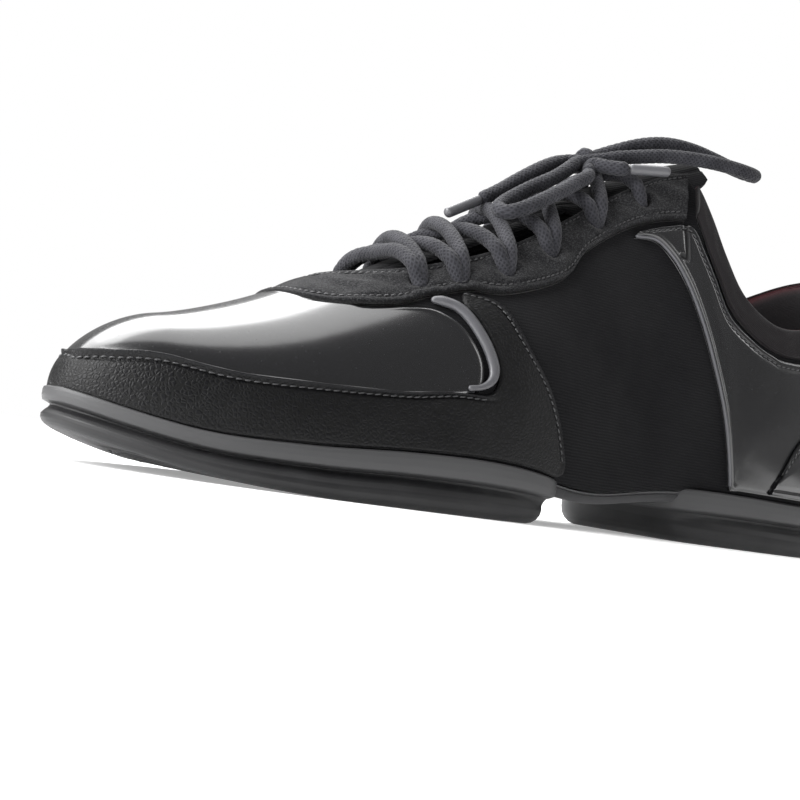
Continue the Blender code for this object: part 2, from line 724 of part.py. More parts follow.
def make_piping():
    """Round piping along the notch on each side."""
    table = np.column_stack([np.arange(len(NOTCH)), NOTCH])
    place = np.linspace(0, len(NOTCH) - 1, 13)
    station, v = spline(table, place, 1), spline(table, place, 2)
    for name, q in (("notch_piping_lateral", v - 1), ("notch_piping_medial", 1 - v)):
        tube(name, on_last(station, q, PIPING_RADIUS + LAYER_GAP), PIPING_RADIUS, PIPING_FINISH)


EYESTAY_TOP = 1.5*LAYER_GAP + SUEDE + CLEARANCE


def lace_path(start, end, over=0.0, count=8):
    """Lace across the throat from one eyelet to another: over the eyestay, lower over the tongue."""
    share = np.linspace(0, 1, count)
    station = start[0] + (end[0] - start[0])*share
    q = start[1] + (end[1] - start[1])*share
    edge = 1 - np.interp(station, TOP_LINE[:, 0], TOP_LINE[:, 1])
    inside = step(0, 1, 1 - np.abs(q)/edge)
    lift = EYESTAY_TOP + LACE_DIAMETER/2 + (over - LACE_SAG)*inside
    return on_last(station, q, lift)


def make_lace_bars():
    """Front bar and the crossings above it, joined into one solid."""
    v = spline(EYELETS, EYELETS[:, 0], 1)
    lateral = np.column_stack([EYELETS[:, 0], v - 1])
    medial = np.column_stack([EYELETS[:, 0], 1 - v])
    runs = [(lateral[0], medial[0], 0.0)]
    apart = np.array([EYELET_SPREAD, 0.0])
    for i in range(len(lateral) - 1):
        runs.append((lateral[i] + apart, medial[i + 1] - apart, LACE_OVER))
        runs.append((medial[i] + apart, lateral[i + 1] - apart, 0.0))
    cords = [as_mesh(tube(f"lace_run_{i}", lace_path(*run), LACE_DIAMETER/2, LACE_BRAID, 1))
             for i, run in enumerate(runs)]
    bars = join(cords[0], cords[1:])
    bars.name = "lace_bars"
    bars.data.name = "lace_bars"
    return bars


def smooth_route(rows, spacing):
    """Even points along a smooth curve through the route's own points."""
    table = np.column_stack([np.arange(len(rows)), rows])
    fine = np.linspace(0, len(rows) - 1, 40*len(rows))
    path = np.stack([spline(table, fine, c + 1) for c in range(3)], -1)
    length = np.concatenate([[0], np.cumsum(np.linalg.norm(np.diff(path, axis=0), axis=1))])
    place = np.linspace(0, length[-1], max(4, int(round(length[-1]/spacing)) + 1))
    return np.stack([np.interp(place, length, path[:, c]) for c in range(3)], -1)


# Routes of the bow, in metres from the tip of the toe.
LOOP_REAR = np.array([
    (0.1506, 0.0004, 0.1091),
    (0.1560, -0.0006, 0.1120),
    (0.1620, -0.0022, 0.1150),
    (0.1690, -0.0036, 0.1178),
    (0.1775, -0.0042, 0.1198),
    (0.1870, -0.0048, 0.1203),
    (0.1960, -0.0060, 0.1193),
    (0.2030, -0.0080, 0.1178),
    (0.2064, -0.0113, 0.1165),
    (0.2040, -0.0146, 0.1156),
    (0.1970, -0.0158, 0.1152),
    (0.1875, -0.0150, 0.1150),
    (0.1780, -0.0132, 0.1143),
    (0.1690, -0.0112, 0.1130),
    (0.1610, -0.0092, 0.1110),
    (0.1552, -0.0080, 0.1094),
    (0.1508, -0.0064, 0.1080),
])
LOOP_FRONT = np.array([
    (0.1430, -0.0032, 0.1054),
    (0.1385, -0.0052, 0.1020),
    (0.1330, -0.0066, 0.0980),
    (0.1270, -0.0074, 0.0944),
    (0.1210, -0.0082, 0.0905),
    (0.1150, -0.0094, 0.0862),
    (0.1118, -0.0120, 0.0832),
    (0.1134, -0.0152, 0.0826),
    (0.1185, -0.0162, 0.0852),
    (0.1250, -0.0152, 0.0892),
    (0.1315, -0.0138, 0.0932),
    (0.1375, -0.0122, 0.0972),
    (0.1418, -0.0108, 0.1000),
    (0.1440, -0.0086, 0.1018),
])
END_FRONT = np.array([
    (0.1424, 0.0018, 0.1064),
    (0.1370, 0.0010, 0.1040),
    (0.1305, 0.0000, 0.1000),
    (0.1240, -0.0004, 0.0953),
    (0.1180, -0.0008, 0.0908),
    (0.1125, -0.0012, 0.0874),
])
END_REAR = np.array([
    (0.1470, -0.0066, 0.1056),
    (0.1484, -0.0098, 0.1048),
    (0.1508, -0.0122, 0.1046),
    (0.1545, -0.0135, 0.1051),
])


def make_knot():
    """Knot of the bow: a wrap of lace round a tight core."""
    wrap = bpy.data.meshes.new("lace_knot")
    shape = bmesh.new()
    bmesh.ops.create_uvsphere(shape, u_segments=10, v_segments=6, radius=KNOT_RADIUS)
    bmesh.ops.scale(shape, verts=shape.verts, vec=(0.95, 0.95, 0.80))
    bmesh.ops.translate(shape, verts=shape.verts, vec=KNOT_CENTRE)
    shape.to_mesh(wrap)
    shape.free()
    core = add_object("lace_knot", wrap, LACE_BRAID)
    turn = np.linspace(0, 2*np.pi, 13)[:-1]
    ring = bpy.data.curves.new("lace_wrap", "CURVE")
    ring.dimensions = "3D"
    ring.bevel_depth = 0.45*LACE_DIAMETER
    ring.bevel_resolution = 2
    path = ring.splines.new("POLY")
    path.points.add(len(turn) - 1)
    reach = KNOT_RADIUS - 0.40*LACE_DIAMETER
    for knot, a in zip(path.points, turn):
        knot.co = (KNOT_CENTRE[0] + 0.2*reach*math.sin(a), KNOT_CENTRE[1] + reach*math.cos(a),
                   KNOT_CENTRE[2] + reach*math.sin(a), 1)
    path.use_cyclic_u = True
    ring.materials.append(LACE_BRAID)
    wrap_object = bpy.data.objects.new("lace_wrap", ring)
    sneaker.objects.link(wrap_object)
    join(core, [as_mesh(wrap_object)])


def make_end(cord_name, aglet_name, rows):
    """Free end of the lace and, after a small gap, the aglet in line with it."""
    route = smooth_route(rows, 1.1*LACE_DIAMETER)
    tube(cord_name, route, LACE_DIAMETER/2, LACE_BRAID)
    end = Vector(route[-1])
    direction = (end - Vector(route[-2])).normalized()
    points = [end + direction*(CLEARANCE + AGLET_LENGTH*share) for share in (0, 0.5, 1)]
    tube(aglet_name, points, AGLET_DIAMETER/2, AGLET_PLASTIC)


make_upper()
make_pad("forefoot_outsole", FOREFOOT_PAD, 48, FOREFOOT_PIVOT, FOREFOOT_MOAT)
make_pad("heel_outsole", HEEL_PAD, 40, HEEL_PIVOT, HEEL_MOAT)
make_arch()
make_insole()
make_tongue()
ribbon("toe_guard", TOE_GUARD, 29, 4, LAYER_GAP, LEATHER, GRAINED_LEATHER)
make_toe_patent()
make_piping()
ribbon("eyestay", EYESTAY, 19, 3, 1.5*LAYER_GAP, SUEDE, SUEDE_LEATHER)
ribbon("quarter", QUARTER, 20, 6, 1.5*LAYER_GAP, PATENT, PATENT_LEATHER)
ribbon("heel_counter", HEEL_COUNTER, 10, 3, PATENT + 3*LAYER_GAP, PATENT, PATENT_LEATHER)
ribbon("collar_band", COLLAR, 16, 2, LAYER_GAP, COLLAR_PAD, COLLAR_TEXTILE)
make_lace_bars()
make_knot()
tube("lace_loop_rear", smooth_route(LOOP_REAR, 1.1*LACE_DIAMETER), LACE_DIAMETER/2, LACE_BRAID)
tube("lace_loop_front", smooth_route(LOOP_FRONT, 1.1*LACE_DIAMETER), LACE_DIAMETER/2, LACE_BRAID)
make_end("lace_end_front", "aglet_front", END_FRONT)
make_end("lace_end_rear", "aglet_rear", END_REAR)

# Stand the shoe on the floor with the middle of its own box, without the bow, over the origin.
BOW = ("lace_knot", "lace_loop", "lace_end", "aglet")
bpy.context.view_layer.update()
graph = bpy.context.evaluated_depsgraph_get()
corners = []
for piece in sneaker.objects:
    if not piece.name.startswith(BOW):
        solid = piece.evaluated_get(graph).to_mesh()
        corners += [vertex.co.copy() for vertex in solid.vertices]
        piece.evaluated_get(graph).to_mesh_clear()
corners = np.array(corners)
middle = 0.5*(corners.min(axis=0) + corners.max(axis=0))
stand = bpy.data.objects.new("stand_point", None)
sneaker.objects.link(stand)
stand.location = (-middle[0], -middle[1], 0)
for piece in sneaker.objects:
    if piece is not stand:
        piece.parent = stand
bpy.context.view_layer.update()
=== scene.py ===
# %% [markdown]
# A left dance sneaker with a split sole. The plain solids of the shoe are loaded first and stay
# fixed. Every solid then gets a finer piece in its place: leather, patent, suede, stretch textile,
# rubber and braided lace. All pieces come from one surface, the last, which is the foot-shaped
# block that a shoemaker pulls the upper over. So each piece is a patch of the last, pushed outwards.
# All lengths are in metres.

# %% Load the fixed model
import math

import bmesh
import bpy
import numpy as np
from mathutils import Matrix


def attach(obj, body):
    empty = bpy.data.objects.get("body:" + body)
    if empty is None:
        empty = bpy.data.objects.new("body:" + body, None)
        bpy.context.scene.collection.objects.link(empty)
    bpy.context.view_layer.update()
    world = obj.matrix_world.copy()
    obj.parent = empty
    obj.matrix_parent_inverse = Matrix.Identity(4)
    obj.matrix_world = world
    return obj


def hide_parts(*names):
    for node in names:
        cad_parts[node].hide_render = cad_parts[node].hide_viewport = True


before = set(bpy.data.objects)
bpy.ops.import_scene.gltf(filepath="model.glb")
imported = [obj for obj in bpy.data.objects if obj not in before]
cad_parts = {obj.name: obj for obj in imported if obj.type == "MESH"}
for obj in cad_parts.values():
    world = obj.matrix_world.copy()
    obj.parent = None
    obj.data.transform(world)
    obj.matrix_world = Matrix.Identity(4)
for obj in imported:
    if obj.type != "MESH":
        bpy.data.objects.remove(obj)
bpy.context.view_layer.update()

# %% [markdown]
# The camera stands where the picture was taken from, seen in plan: beside the toe, on the lateral
# side. It is as low as the floor allows, just above it, and keeps the picture's roll. It could aim
# at the shoe, but a small shift of the sensor keeps the uprights parallel and the framing the same.

# %% Camera
AZIMUTH, ROLL = math.radians(32.1), math.radians(8.3)
CAMERA_PLACE = (-0.2113, -0.2853, 0.0090)
PICTURE = 800  # pixels across and down


def in_scene(name, data):
    """New object of the scene for a mesh, a lamp or a camera."""
    made = bpy.data.objects.new(name, data)
    bpy.context.scene.collection.objects.link(made)
    return made


ahead = np.array([math.sin(AZIMUTH), math.cos(AZIMUTH), 0.0])
level = np.array([math.cos(AZIMUTH), -math.sin(AZIMUTH), 0.0])
right = math.cos(ROLL)*level + math.sin(ROLL)*np.array([0, 0, 1.0])
above = -math.sin(ROLL)*level + math.cos(ROLL)*np.array([0, 0, 1.0])

lens = bpy.data.cameras.new("camera")
lens.lens, lens.sensor_width = 54.8, 36.0
lens.shift_x, lens.shift_y = 2/PICTURE, 70/PICTURE
lens.clip_start, lens.clip_end = 0.01, 50
camera = in_scene("camera", lens)
camera.matrix_world = Matrix([(right[i], above[i], -ahead[i], CAMERA_PLACE[i]) for i in range(3)]
                             + [(0, 0, 0, 1)])
bpy.context.scene.camera = camera
bpy.context.scene.view_settings.view_transform = "Standard"
print("camera 9 mm over the floor, azimuth 32 degrees, roll 8 degrees")

# %% [markdown]
# The last is worked out from short tables. A station is a share of its length, from 0 at the toe to
# 1 at the heel. Across it, q runs from -1 at the lateral edge over the crest, 0, to +1 at the
# medial edge. A sculpted block could do it too, but a formula lets every layer follow the same form.

# %% The last: tables
SOLE_LENGTH, BALL_WIDTH, INSTEP_HEIGHT, COLLAR_HEIGHT = 0.262, 0.082, 0.100, 0.094
SOLE_THICKNESS, TOE_SPRING, ARCH_RISE, LATERAL_DIP = 0.015, 0.0075, 0.007, 0.0045
TOE_INSET, HEEL_INSET, HEEL_BULGE, HEEL_LEAN = 0.0025, 0.003, 0.003, 0.007
TOE_REACH, TOE_POWER, TOE_DOME = 0.22, 1.85, 0.085
HEEL_REACH, HEEL_POWER = 0.135, 2.0
LAST_LENGTH = SOLE_LENGTH - TOE_INSET - HEEL_INSET
STAND = np.array([-0.13236, -0.00089, 0.0])  # from the shoe's own frame to the model's
LACE = 0.0040

PLAN = np.array([
    # station, lateral, medial: half widths as shares of BALL_WIDTH
    (0.00, 0.340, 0.330), (0.10, 0.375, 0.380), (0.20, 0.412, 0.455), (0.28, 0.440, 0.490),
    (0.36, 0.463, 0.455), (0.44, 0.462, 0.350), (0.52, 0.410, 0.265), (0.60, 0.368, 0.250),
    (0.70, 0.370, 0.320), (0.80, 0.390, 0.390), (0.90, 0.390, 0.400), (1.00, 0.390, 0.390),
])
SECTIONS = np.array([
    # station, crest, shift, low, bulge, shoulder
    (0.00, 0.335, 0.02, 0.60, 1.00, 0.75), (0.10, 0.382, 0.03, 0.60, 1.00, 0.70),
    (0.16, 0.437, 0.04, 0.60, 1.00, 0.62), (0.27, 0.575, 0.05, 0.60, 1.00, 0.52),
    (0.36, 0.702, 0.05, 0.60, 1.00, 0.47), (0.48, 0.870, 0.04, 0.58, 1.04, 0.46),
    (0.60, 1.045, 0.03, 0.55, 1.08, 0.48), (0.70, 1.165, 0.01, 0.52, 1.10, 0.52),
    (0.80, 1.230, 0.00, 0.50, 1.10, 0.62), (0.90, 1.260, 0.00, 0.50, 1.08, 0.72),
    (1.00, 1.280, 0.00, 0.50, 1.06, 0.80),
])
SOLE = np.array([
    # station, thickness share, spring share
    (0.00, 0.58, 1.00), (0.05, 0.58, 0.60), (0.10, 0.60, 0.28), (0.20, 0.74, 0.02),
    (0.30, 0.87, 0.00), (0.40, 0.95, 0.00), (0.50, 1.00, 0.00), (1.00, 1.00, 0.00),
])
print("stations in the tables:", len(PLAN), len(SECTIONS), len(SOLE))


# %% The last: curves
def spline(table, x, column):
    """Smooth curve through one column: cubic pieces whose slope at a row is the mean slope there."""
    knots, values = table[:, 0], table[:, column]
    slope = np.gradient(values, knots)
    x = np.clip(x, knots[0], knots[-1])
    i = np.clip(np.searchsorted(knots, x, side="right") - 1, 0, len(knots) - 2)
    h = knots[i + 1] - knots[i]
    s = (x - knots[i])/h
    return ((2*s**3 - 3*s**2 + 1)*values[i] + (s**3 - 2*s**2 + s)*h*slope[i]
            + (3*s**2 - 2*s**3)*values[i + 1] + (s**3 - s**2)*h*slope[i + 1])


def step(start, end, x):
    """Smooth step: 0 up to start, 1 from end, three squares less two cubes between."""
    q = np.clip((x - start)/(end - start), 0, 1)
    return q*q*(3 - 2*q)


def hump(x, middle, width):
    """Bell with its top, 1, at middle: e to the minus square of the distance over the width."""
    return np.exp(-((x - middle)/width)**2)


def round_end(share, reach, power):
    """Round end: 0 at the tip and 1 from reach inwards, as on a rounded square of that power."""
    q = np.clip(1 - share/reach, 0, 1)
    return (1 - q**power)**(1/power)


print("a round end at a tenth and half of its reach:", np.round(round_end(np.array([0.1, 0.5]), 1, 2), 3))


# %% The last: outline on the floor
def both_ends(station):
    """Share of the full width at a station: 0 at the tips of toe and heel, 1 in between."""
    return round_end(station, TOE_REACH, TOE_POWER)*round_end(1 - station, HEEL_REACH, HEEL_POWER)


def half_width(station, side):
    """Half width of the last at the feather on one side: the table's share, drawn in at the ends."""
    share = np.where(side < 0, spline(PLAN, station, 1), spline(PLAN, station, 2))
    return share*BALL_WIDTH*both_ends(station)


def base_height(station, across):
    """Height of the feather: sole and toe spring, plus the arch's rise on the medial side."""
    rise = ARCH_RISE*hump(station, 0.56, 0.10)*step(0.1, 1, across)
    dip = LATERAL_DIP*hump(station, 0.54, 0.10)*(1 - across)
    return SOLE_THICKNESS*spline(SOLE, station, 1) + TOE_SPRING*spline(SOLE, station, 2) + rise - dip


def plan_x(station):
    """Place along the shoe of a station, a straight line from the toe to the heel."""
    return TOE_INSET + LAST_LENGTH*station


def station_of(x):
    """Station of a place along the shoe, the other way round."""
    return np.clip((x - TOE_INSET)/LAST_LENGTH, 0, 1)


print("widths at the ball, lateral and medial:", np.round(half_width(0.3, np.array([-1, 1])), 4))


# %% The last: surface
def last_point(station, q):
    """Point of the last. Each half section is one cubic curve of four points: the feather, a point
    above it, the shoulder at crest height, and the crest. The heel leans by its height squared."""
    station, q = np.broadcast_arrays(np.asarray(station, float), np.asarray(q, float))
    side = np.where(q < 0, -1.0, 1.0)
    v = 1 - np.abs(q)
    base = base_height(station, (side + 1)/2)
    crest = base + (spline(SECTIONS, station, 1)*INSTEP_HEIGHT - base)*round_end(station, TOE_DOME, 2)
    ridge = spline(SECTIONS, station, 2)*BALL_WIDTH*both_ends(station)
    foot = side*half_width(station, side)
    low = base + spline(SECTIONS, station, 3)*(crest - base)
    shoulder = ridge + (foot - ridge)*spline(SECTIONS, station, 5)
    a, b, c, d = (1 - v)**3, 3*v*(1 - v)**2, 3*v*v*(1 - v), v**3
    y = a*foot + b*foot*spline(SECTIONS, station, 4) + c*shoulder + d*ridge
    z = a*base + b*low + c*crest + d*crest
    up = np.clip((z - base)/COLLAR_HEIGHT, 0, 1.4)
    back = HEEL_BULGE*np.sin(np.pi*np.clip(1.35*up, 0, 1)) - HEEL_LEAN*up**2
    return np.stack([plan_x(station) + back*step(0.72, 1, station), y, z], -1)


def unit(vectors):
    """Vectors divided by their lengths."""
    return vectors/(np.linalg.norm(vectors, axis=-1, keepdims=True) + 1e-12)


def last_normal(station, q):
    """Outward normal of the last: the cross product of its two small steps."""
    small = 0.0006
    along = last_point(station + small, q) - last_point(station - small, q)
    across = last_point(station, q + small) - last_point(station, q - small)
    return unit(np.cross(along, across))


def on_last(station, q, lift=0.0):
    """Point of the last, moved out along the normal by lift, in the model's frame."""
    station, q, lift = np.broadcast_arrays(*(np.asarray(a, float) for a in (station, q, lift)))
    return last_point(station, q) + last_normal(station, q)*lift[..., None] + STAND


print("crest at the instep:", np.round(on_last(0.6, 0.0), 4))

# %% [markdown]
# A finish is a small graph of shader nodes. Written by hand, such a graph is hard to read, so one
# class wraps an output socket, and sums and products of wrapped sockets add the Math nodes.
# Everything else, such as noise, a ramp or a bump, comes from one method of the finish.


# %% Shader maths
class Wire:
    """Output socket of a finish; arithmetic on it adds Math nodes to the same finish."""

    def __init__(self, finish, socket):
        self.finish, self.socket = finish, socket

    def maths(self, operation, *others):
        values = dict(enumerate((self, *others)))
        return self.finish.node("ShaderNodeMath", {"operation": operation}, values)

    def __add__(self, other): return self.maths("ADD", other)
    __radd__ = __add__
    def __mul__(self, other): return self.maths("MULTIPLY", other)
    __rmul__ = __mul__
    def __sub__(self, other): return self.maths("SUBTRACT", other)
    def __rsub__(self, other): return self.finish.number(other).maths("SUBTRACT", self)
    def sin(self): return self.maths("SINE")
    def most(self, other): return self.maths("MAXIMUM", other)

    def waves(self, pitch):
        """Sine of this length, with one whole wave in each pitch."""
        return (self*(2*math.pi/pitch)).sin()

    def ramp(self, start, end):
        """Smooth step of this value from 0 at start to 1 at end."""
        limits = {0: self, 1: start, 2: end, 3: 0.0, 4: 1.0}
        return self.finish.node("ShaderNodeMapRange", {"interpolation_type": "SMOOTHSTEP"}, limits)


# %% A finish and its nodes
class Finish:
    """Material of one finish. The fixed numbers of its surface are set on the shader's sockets."""

    def __init__(self, name, **fixed):
        self.material = bpy.data.materials.new(name)
        self.material.use_nodes = True
        self.tree = self.material.node_tree
        self.shader = self.tree.nodes["Principled BSDF"]
        for socket, value in fixed.items():
            self.shader.inputs[socket.replace("_", " ")].default_value = value

    def node(self, kind, settings=None, sockets=None, output=0):
        """Any node: its settings first, then the values or links of its sockets."""
        made = self.tree.nodes.new(kind)
        for key, value in (settings or {}).items():
            setattr(made, key, value)
        for key, value in (sockets or {}).items():
            if isinstance(value, Wire):
                self.tree.links.new(value.socket, made.inputs[key])
            else:
                made.inputs[key].default_value = value
        return Wire(self, made.outputs[output])

    def number(self, value):
        return self.node("ShaderNodeMath", {"operation": "ADD"}, {0: value, 1: 0.0})

    def place(self, output="Object"):
        return self.node("ShaderNodeTexCoord", output=output)

    def part(self, vector, axis):
        return self.node("ShaderNodeSeparateXYZ", {}, {0: vector}, output=axis)

    def noise(self, scale, detail=2.0, rough=0.5, at=None):
        return self.node("ShaderNodeTexNoise", {}, {"Vector": at or self.place(), "Scale": scale,
                                                    "Detail": detail, "Roughness": rough})

    def stretched(self, vector, scale):
        return self.node("ShaderNodeVectorMath", {"operation": "MULTIPLY"}, {0: vector, 1: scale})

    def mix(self, factor, first, second):
        """Colour between two colours."""
        first, second = (c if isinstance(c, Wire) else (*c, 1) for c in (first, second))
        return self.node("ShaderNodeMix", {"data_type": "RGBA"}, {0: factor, 6: first, 7: second}, output=2)

    def mask(self, name):
        """Number stored on the piece's vertices."""
        return self.node("ShaderNodeAttribute", {"attribute_name": name}, output=2)

    def bump(self, height, distance, strength=1.0):
        sockets = {"Strength": strength, "Distance": distance, "Height": height}
        return self.node("ShaderNodeBump", {}, sockets)

    def set(self, **links):
        for socket, value in links.items():
            self.tree.links.new(value.socket, self.shader.inputs[socket.replace("_", " ")])
        print("finish", self.material.name, "with", len(self.tree.nodes), "nodes")
        return self.material


# %% [markdown]
# A piece of the shoe is a grid of points: rows along it and columns across. Blender gets the whole
# grid at once. Thin pieces are closed bodies, an outer grid and an inner grid with a wall round the
# border, because a real layer has a cut edge. The signed volume of a body tells whether its faces
# point outwards, and if not they are all turned round.


# %% Grids to quads
def quads_of(rows, columns, around=False):
    """Corner numbers of the quads of a grid, joined round the columns if around."""
    i = np.arange(rows - 1)[:, None]
    j = np.arange(columns if around else columns - 1)[None, :]
    k = (j + 1) % columns
    corners = [i*columns + j, (i + 1)*columns + j, (i + 1)*columns + k, i*columns + k]
    return np.stack([np.broadcast_to(c, (rows - 1, j.shape[1])) for c in corners], -1).reshape(-1, 4)


def outwards(points, quads):
    """Turn all quads round where the body's signed volume, a sum of tetrahedra, is negative."""
    p = [points[quads[:, c]] for c in range(4)]
    volume = np.sum(np.cross(p[0], p[1])*p[2]) + np.sum(np.cross(p[0], p[2])*p[3])
    return quads if volume > 0 else quads[:, ::-1]


print("quads of 3 rows of 4 points:", len(quads_of(3, 4)), "or joined round:", len(quads_of(3, 4, True)))


# %% Grids to pieces
def make_piece(name, points, quads, material, uv=None, masks=None, weld=4e-6):
    """Object from whole arrays: points, quads, a map in metres and numbers on the vertices."""
    mesh = bpy.data.meshes.new(name)
    mesh.vertices.add(len(points))
    mesh.vertices.foreach_set("co", np.ascontiguousarray(points, dtype=np.float32).ravel())
    mesh.loops.add(quads.size)
    mesh.loops.foreach_set("vertex_index", np.ascontiguousarray(quads, dtype=np.int32).ravel())
    mesh.polygons.add(len(quads))
    mesh.polygons.foreach_set("loop_start", np.arange(0, quads.size, 4, dtype=np.int32))
    mesh.update(calc_edges=True)
    if uv is not None:
        layer = mesh.uv_layers.new(name="cloth")
        layer.data.foreach_set("uv", np.ascontiguousarray(uv[quads.ravel()], dtype=np.float32).ravel())
    for key, values in (masks or {}).items():
        mask = mesh.attributes.new(key, "FLOAT", "POINT")
        mask.data.foreach_set("value", values.astype(np.float32).ravel())
    shape = bmesh.new()
    shape.from_mesh(mesh)
    bmesh.ops.remove_doubles(shape, verts=shape.verts, dist=weld)
    bmesh.ops.dissolve_degenerate(shape, edges=shape.edges, dist=1e-6)
    shape.to_mesh(mesh)
    shape.free()
    mesh.shade_smooth()
    mesh.materials.append(material)
    piece = in_scene(name, mesh)
    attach(piece, "root")
    print(f"{name}: {len(mesh.polygons)} faces")
    return piece


def layer(name, outer, inner, material, slot, uv=None, masks=None):
    """Closed body between two grids of one shape: outer face, inner face and a wall round them."""
    rows, columns = outer.shape[:2]
    face = quads_of(rows, columns)
    number = np.arange(rows*columns).reshape(rows, columns)
    border = np.concatenate([number[:-1, 0], number[-1, :-1], number[:0:-1, -1], number[0, :0:-1]])
    after = np.roll(border, -1)
    total = rows*columns
    wall = np.stack([border, border + total, after + total, after], -1)
    quads = np.concatenate([face, face[:, ::-1] + total, wall[:, ::-1]])
    points = np.concatenate([outer.reshape(-1, 3), inner.reshape(-1, 3)])
    doubled = None if uv is None else np.concatenate([uv.reshape(-1, 2)]*2)
    both = {key: np.concatenate([value.ravel()]*2) for key, value in (masks or {}).items()}
    return make_piece(name, points, outwards(points, quads), material, doubled, both)


# %% [markdown]
# Lace, piping and aglets are round bodies along a path. A curve object with a bevel would give the
# same body, but rings of points worked out here can also swell with the braid, taper to a round end
# and stand upright on the surface below. The four helpers measure and read a path or a table.


# %% Paths and tubes
def way_along(path):
    """Distance from a path's start to each of its points: the running sum of its steps."""
    return np.concatenate([[0], np.cumsum(np.linalg.norm(np.diff(path, axis=0), axis=1))])


def read_at(place, length, rows):
    """Rows of a path or table, read in straight lines at places along its length."""
    return np.stack([np.interp(place, length, column) for column in rows.T], -1)


def numbered(rows):
    """Table with the number of each row as its first column, for the spline."""
    return np.column_stack([np.arange(len(rows)), rows])


def tube(name, path, radius, material, around=20, towards=(0, 0, 1), braid=0.0, ends=True,
         flat=1.0):
    """Round body along a path: a circle set square to the path at each point. towards tells which
    side is up, radius may change along the path, and the ends close in a dome one radius long.
    The braid swells along a left and a right spiral: the greater of two sines."""
    path = np.asarray(path, float)
    length = way_along(path)
    tangent = unit(np.gradient(path, length, axis=0))
    side = unit(np.cross(tangent, np.broadcast_to(np.asarray(towards, float), path.shape)))
    up = np.cross(side, tangent)
    turn = np.linspace(0, 2*np.pi, around + 1)
    radius = np.broadcast_to(np.asarray(radius, float), length.shape)
    if ends:
        near = np.minimum(length, length[-1] - length)
        reach = np.clip(near/radius, 0, 1)
        radius = radius*np.sqrt(np.clip(1 - (1 - reach)**2, 1e-6, 1))
    spiral = 4*np.pi*length[:, None]/(1.15*LACE)
    swell = 1 + braid*np.maximum(np.sin(spiral + 4*turn), np.sin(spiral - 4*turn))
    wide, tall = (share*radius[:, None]*swell for share in (np.cos(turn), flat*np.sin(turn)))
    points = path[:, None] + wide[..., None]*side[:, None] + tall[..., None]*up[:, None]
    uv = np.stack(np.broadcast_arrays(length[:, None], turn/(2*np.pi)), -1)
    quads = quads_of(len(path), around + 1)
    points, uv = points.reshape(-1, 3), uv.reshape(-1, 2)
    return make_piece(name, points, outwards(points, quads), material, uv)


def finer(path, spacing):
    """Smooth curve through a path's points, read at an even spacing along its length."""
    fine = np.linspace(0, len(path) - 1, 40*len(path))
    curve = np.stack([spline(numbered(path), fine, c + 1) for c in range(3)], -1)
    length = way_along(curve)
    place = np.linspace(0, length[-1], max(4, int(round(length[-1]/spacing)) + 1))
    return read_at(place, length, curve)


# %% [markdown]
# The lace is a round braid, 4 mm thick. Its strands cross in a left and a right spiral, so the finish
# draws small diamonds from two sines on the map of the tube, one for each spiral. A hair or curve
# system could make each strand, but at this size the crossings only show as a fine grain.

# %% Lace finish
lace = Finish("braided_lace", Roughness=0.8, Specular_IOR_Level=0.2, Sheen_Weight=0.08, Sheen_Roughness=0.5)
on_lace = lace.place("UV")
STRAND_PITCH, STRANDS_ROUND = 0.0015, 10
along_lace = lace.part(on_lace, 0)*(2*math.pi/STRAND_PITCH)
around_lace = lace.part(on_lace, 1)*(2*math.pi*STRANDS_ROUND)
crossing = (along_lace + around_lace).sin().most((along_lace - around_lace).sin())
strands = (crossing*0.5 + 0.5)*0.75 + lace.noise(2200, 2)*0.3
tone = lace.noise(160, 2).ramp(0.35, 0.7)
lace_colour = lace.mix(strands, lace.mix(tone, (0.006, 0.006, 0.008), (0.010, 0.010, 0.013)),
                       lace.mix(tone, (0.030, 0.030, 0.036), (0.050, 0.050, 0.058)))
LACE_BRAID = lace.set(Base_Color=lace_colour, Normal=lace.bump(strands, 0.00022, 0.9))

aglet = Finish("lace_end_plastic", Roughness=0.34, Coat_Weight=0.3)
scratches = aglet.noise(900, 3, at=aglet.stretched(aglet.place("UV"), (40, 1, 1)))
aglet_colour = aglet.mix(scratches, (0.075, 0.075, 0.082), (0.130, 0.130, 0.140))
AGLET_PLASTIC = aglet.set(Base_Color=aglet_colour, Roughness=scratches*0.2 + 0.26,
                          Normal=aglet.bump(scratches, 0.00003))

# %% [markdown]
# The bow has two loops and two short ends, and each is one free piece of lace that leaves the knot.
# Its route is the same as the solid's. A cord could be a curve with a bevel, but a tube worked out
# as a mesh also carries the swelling of the braid.

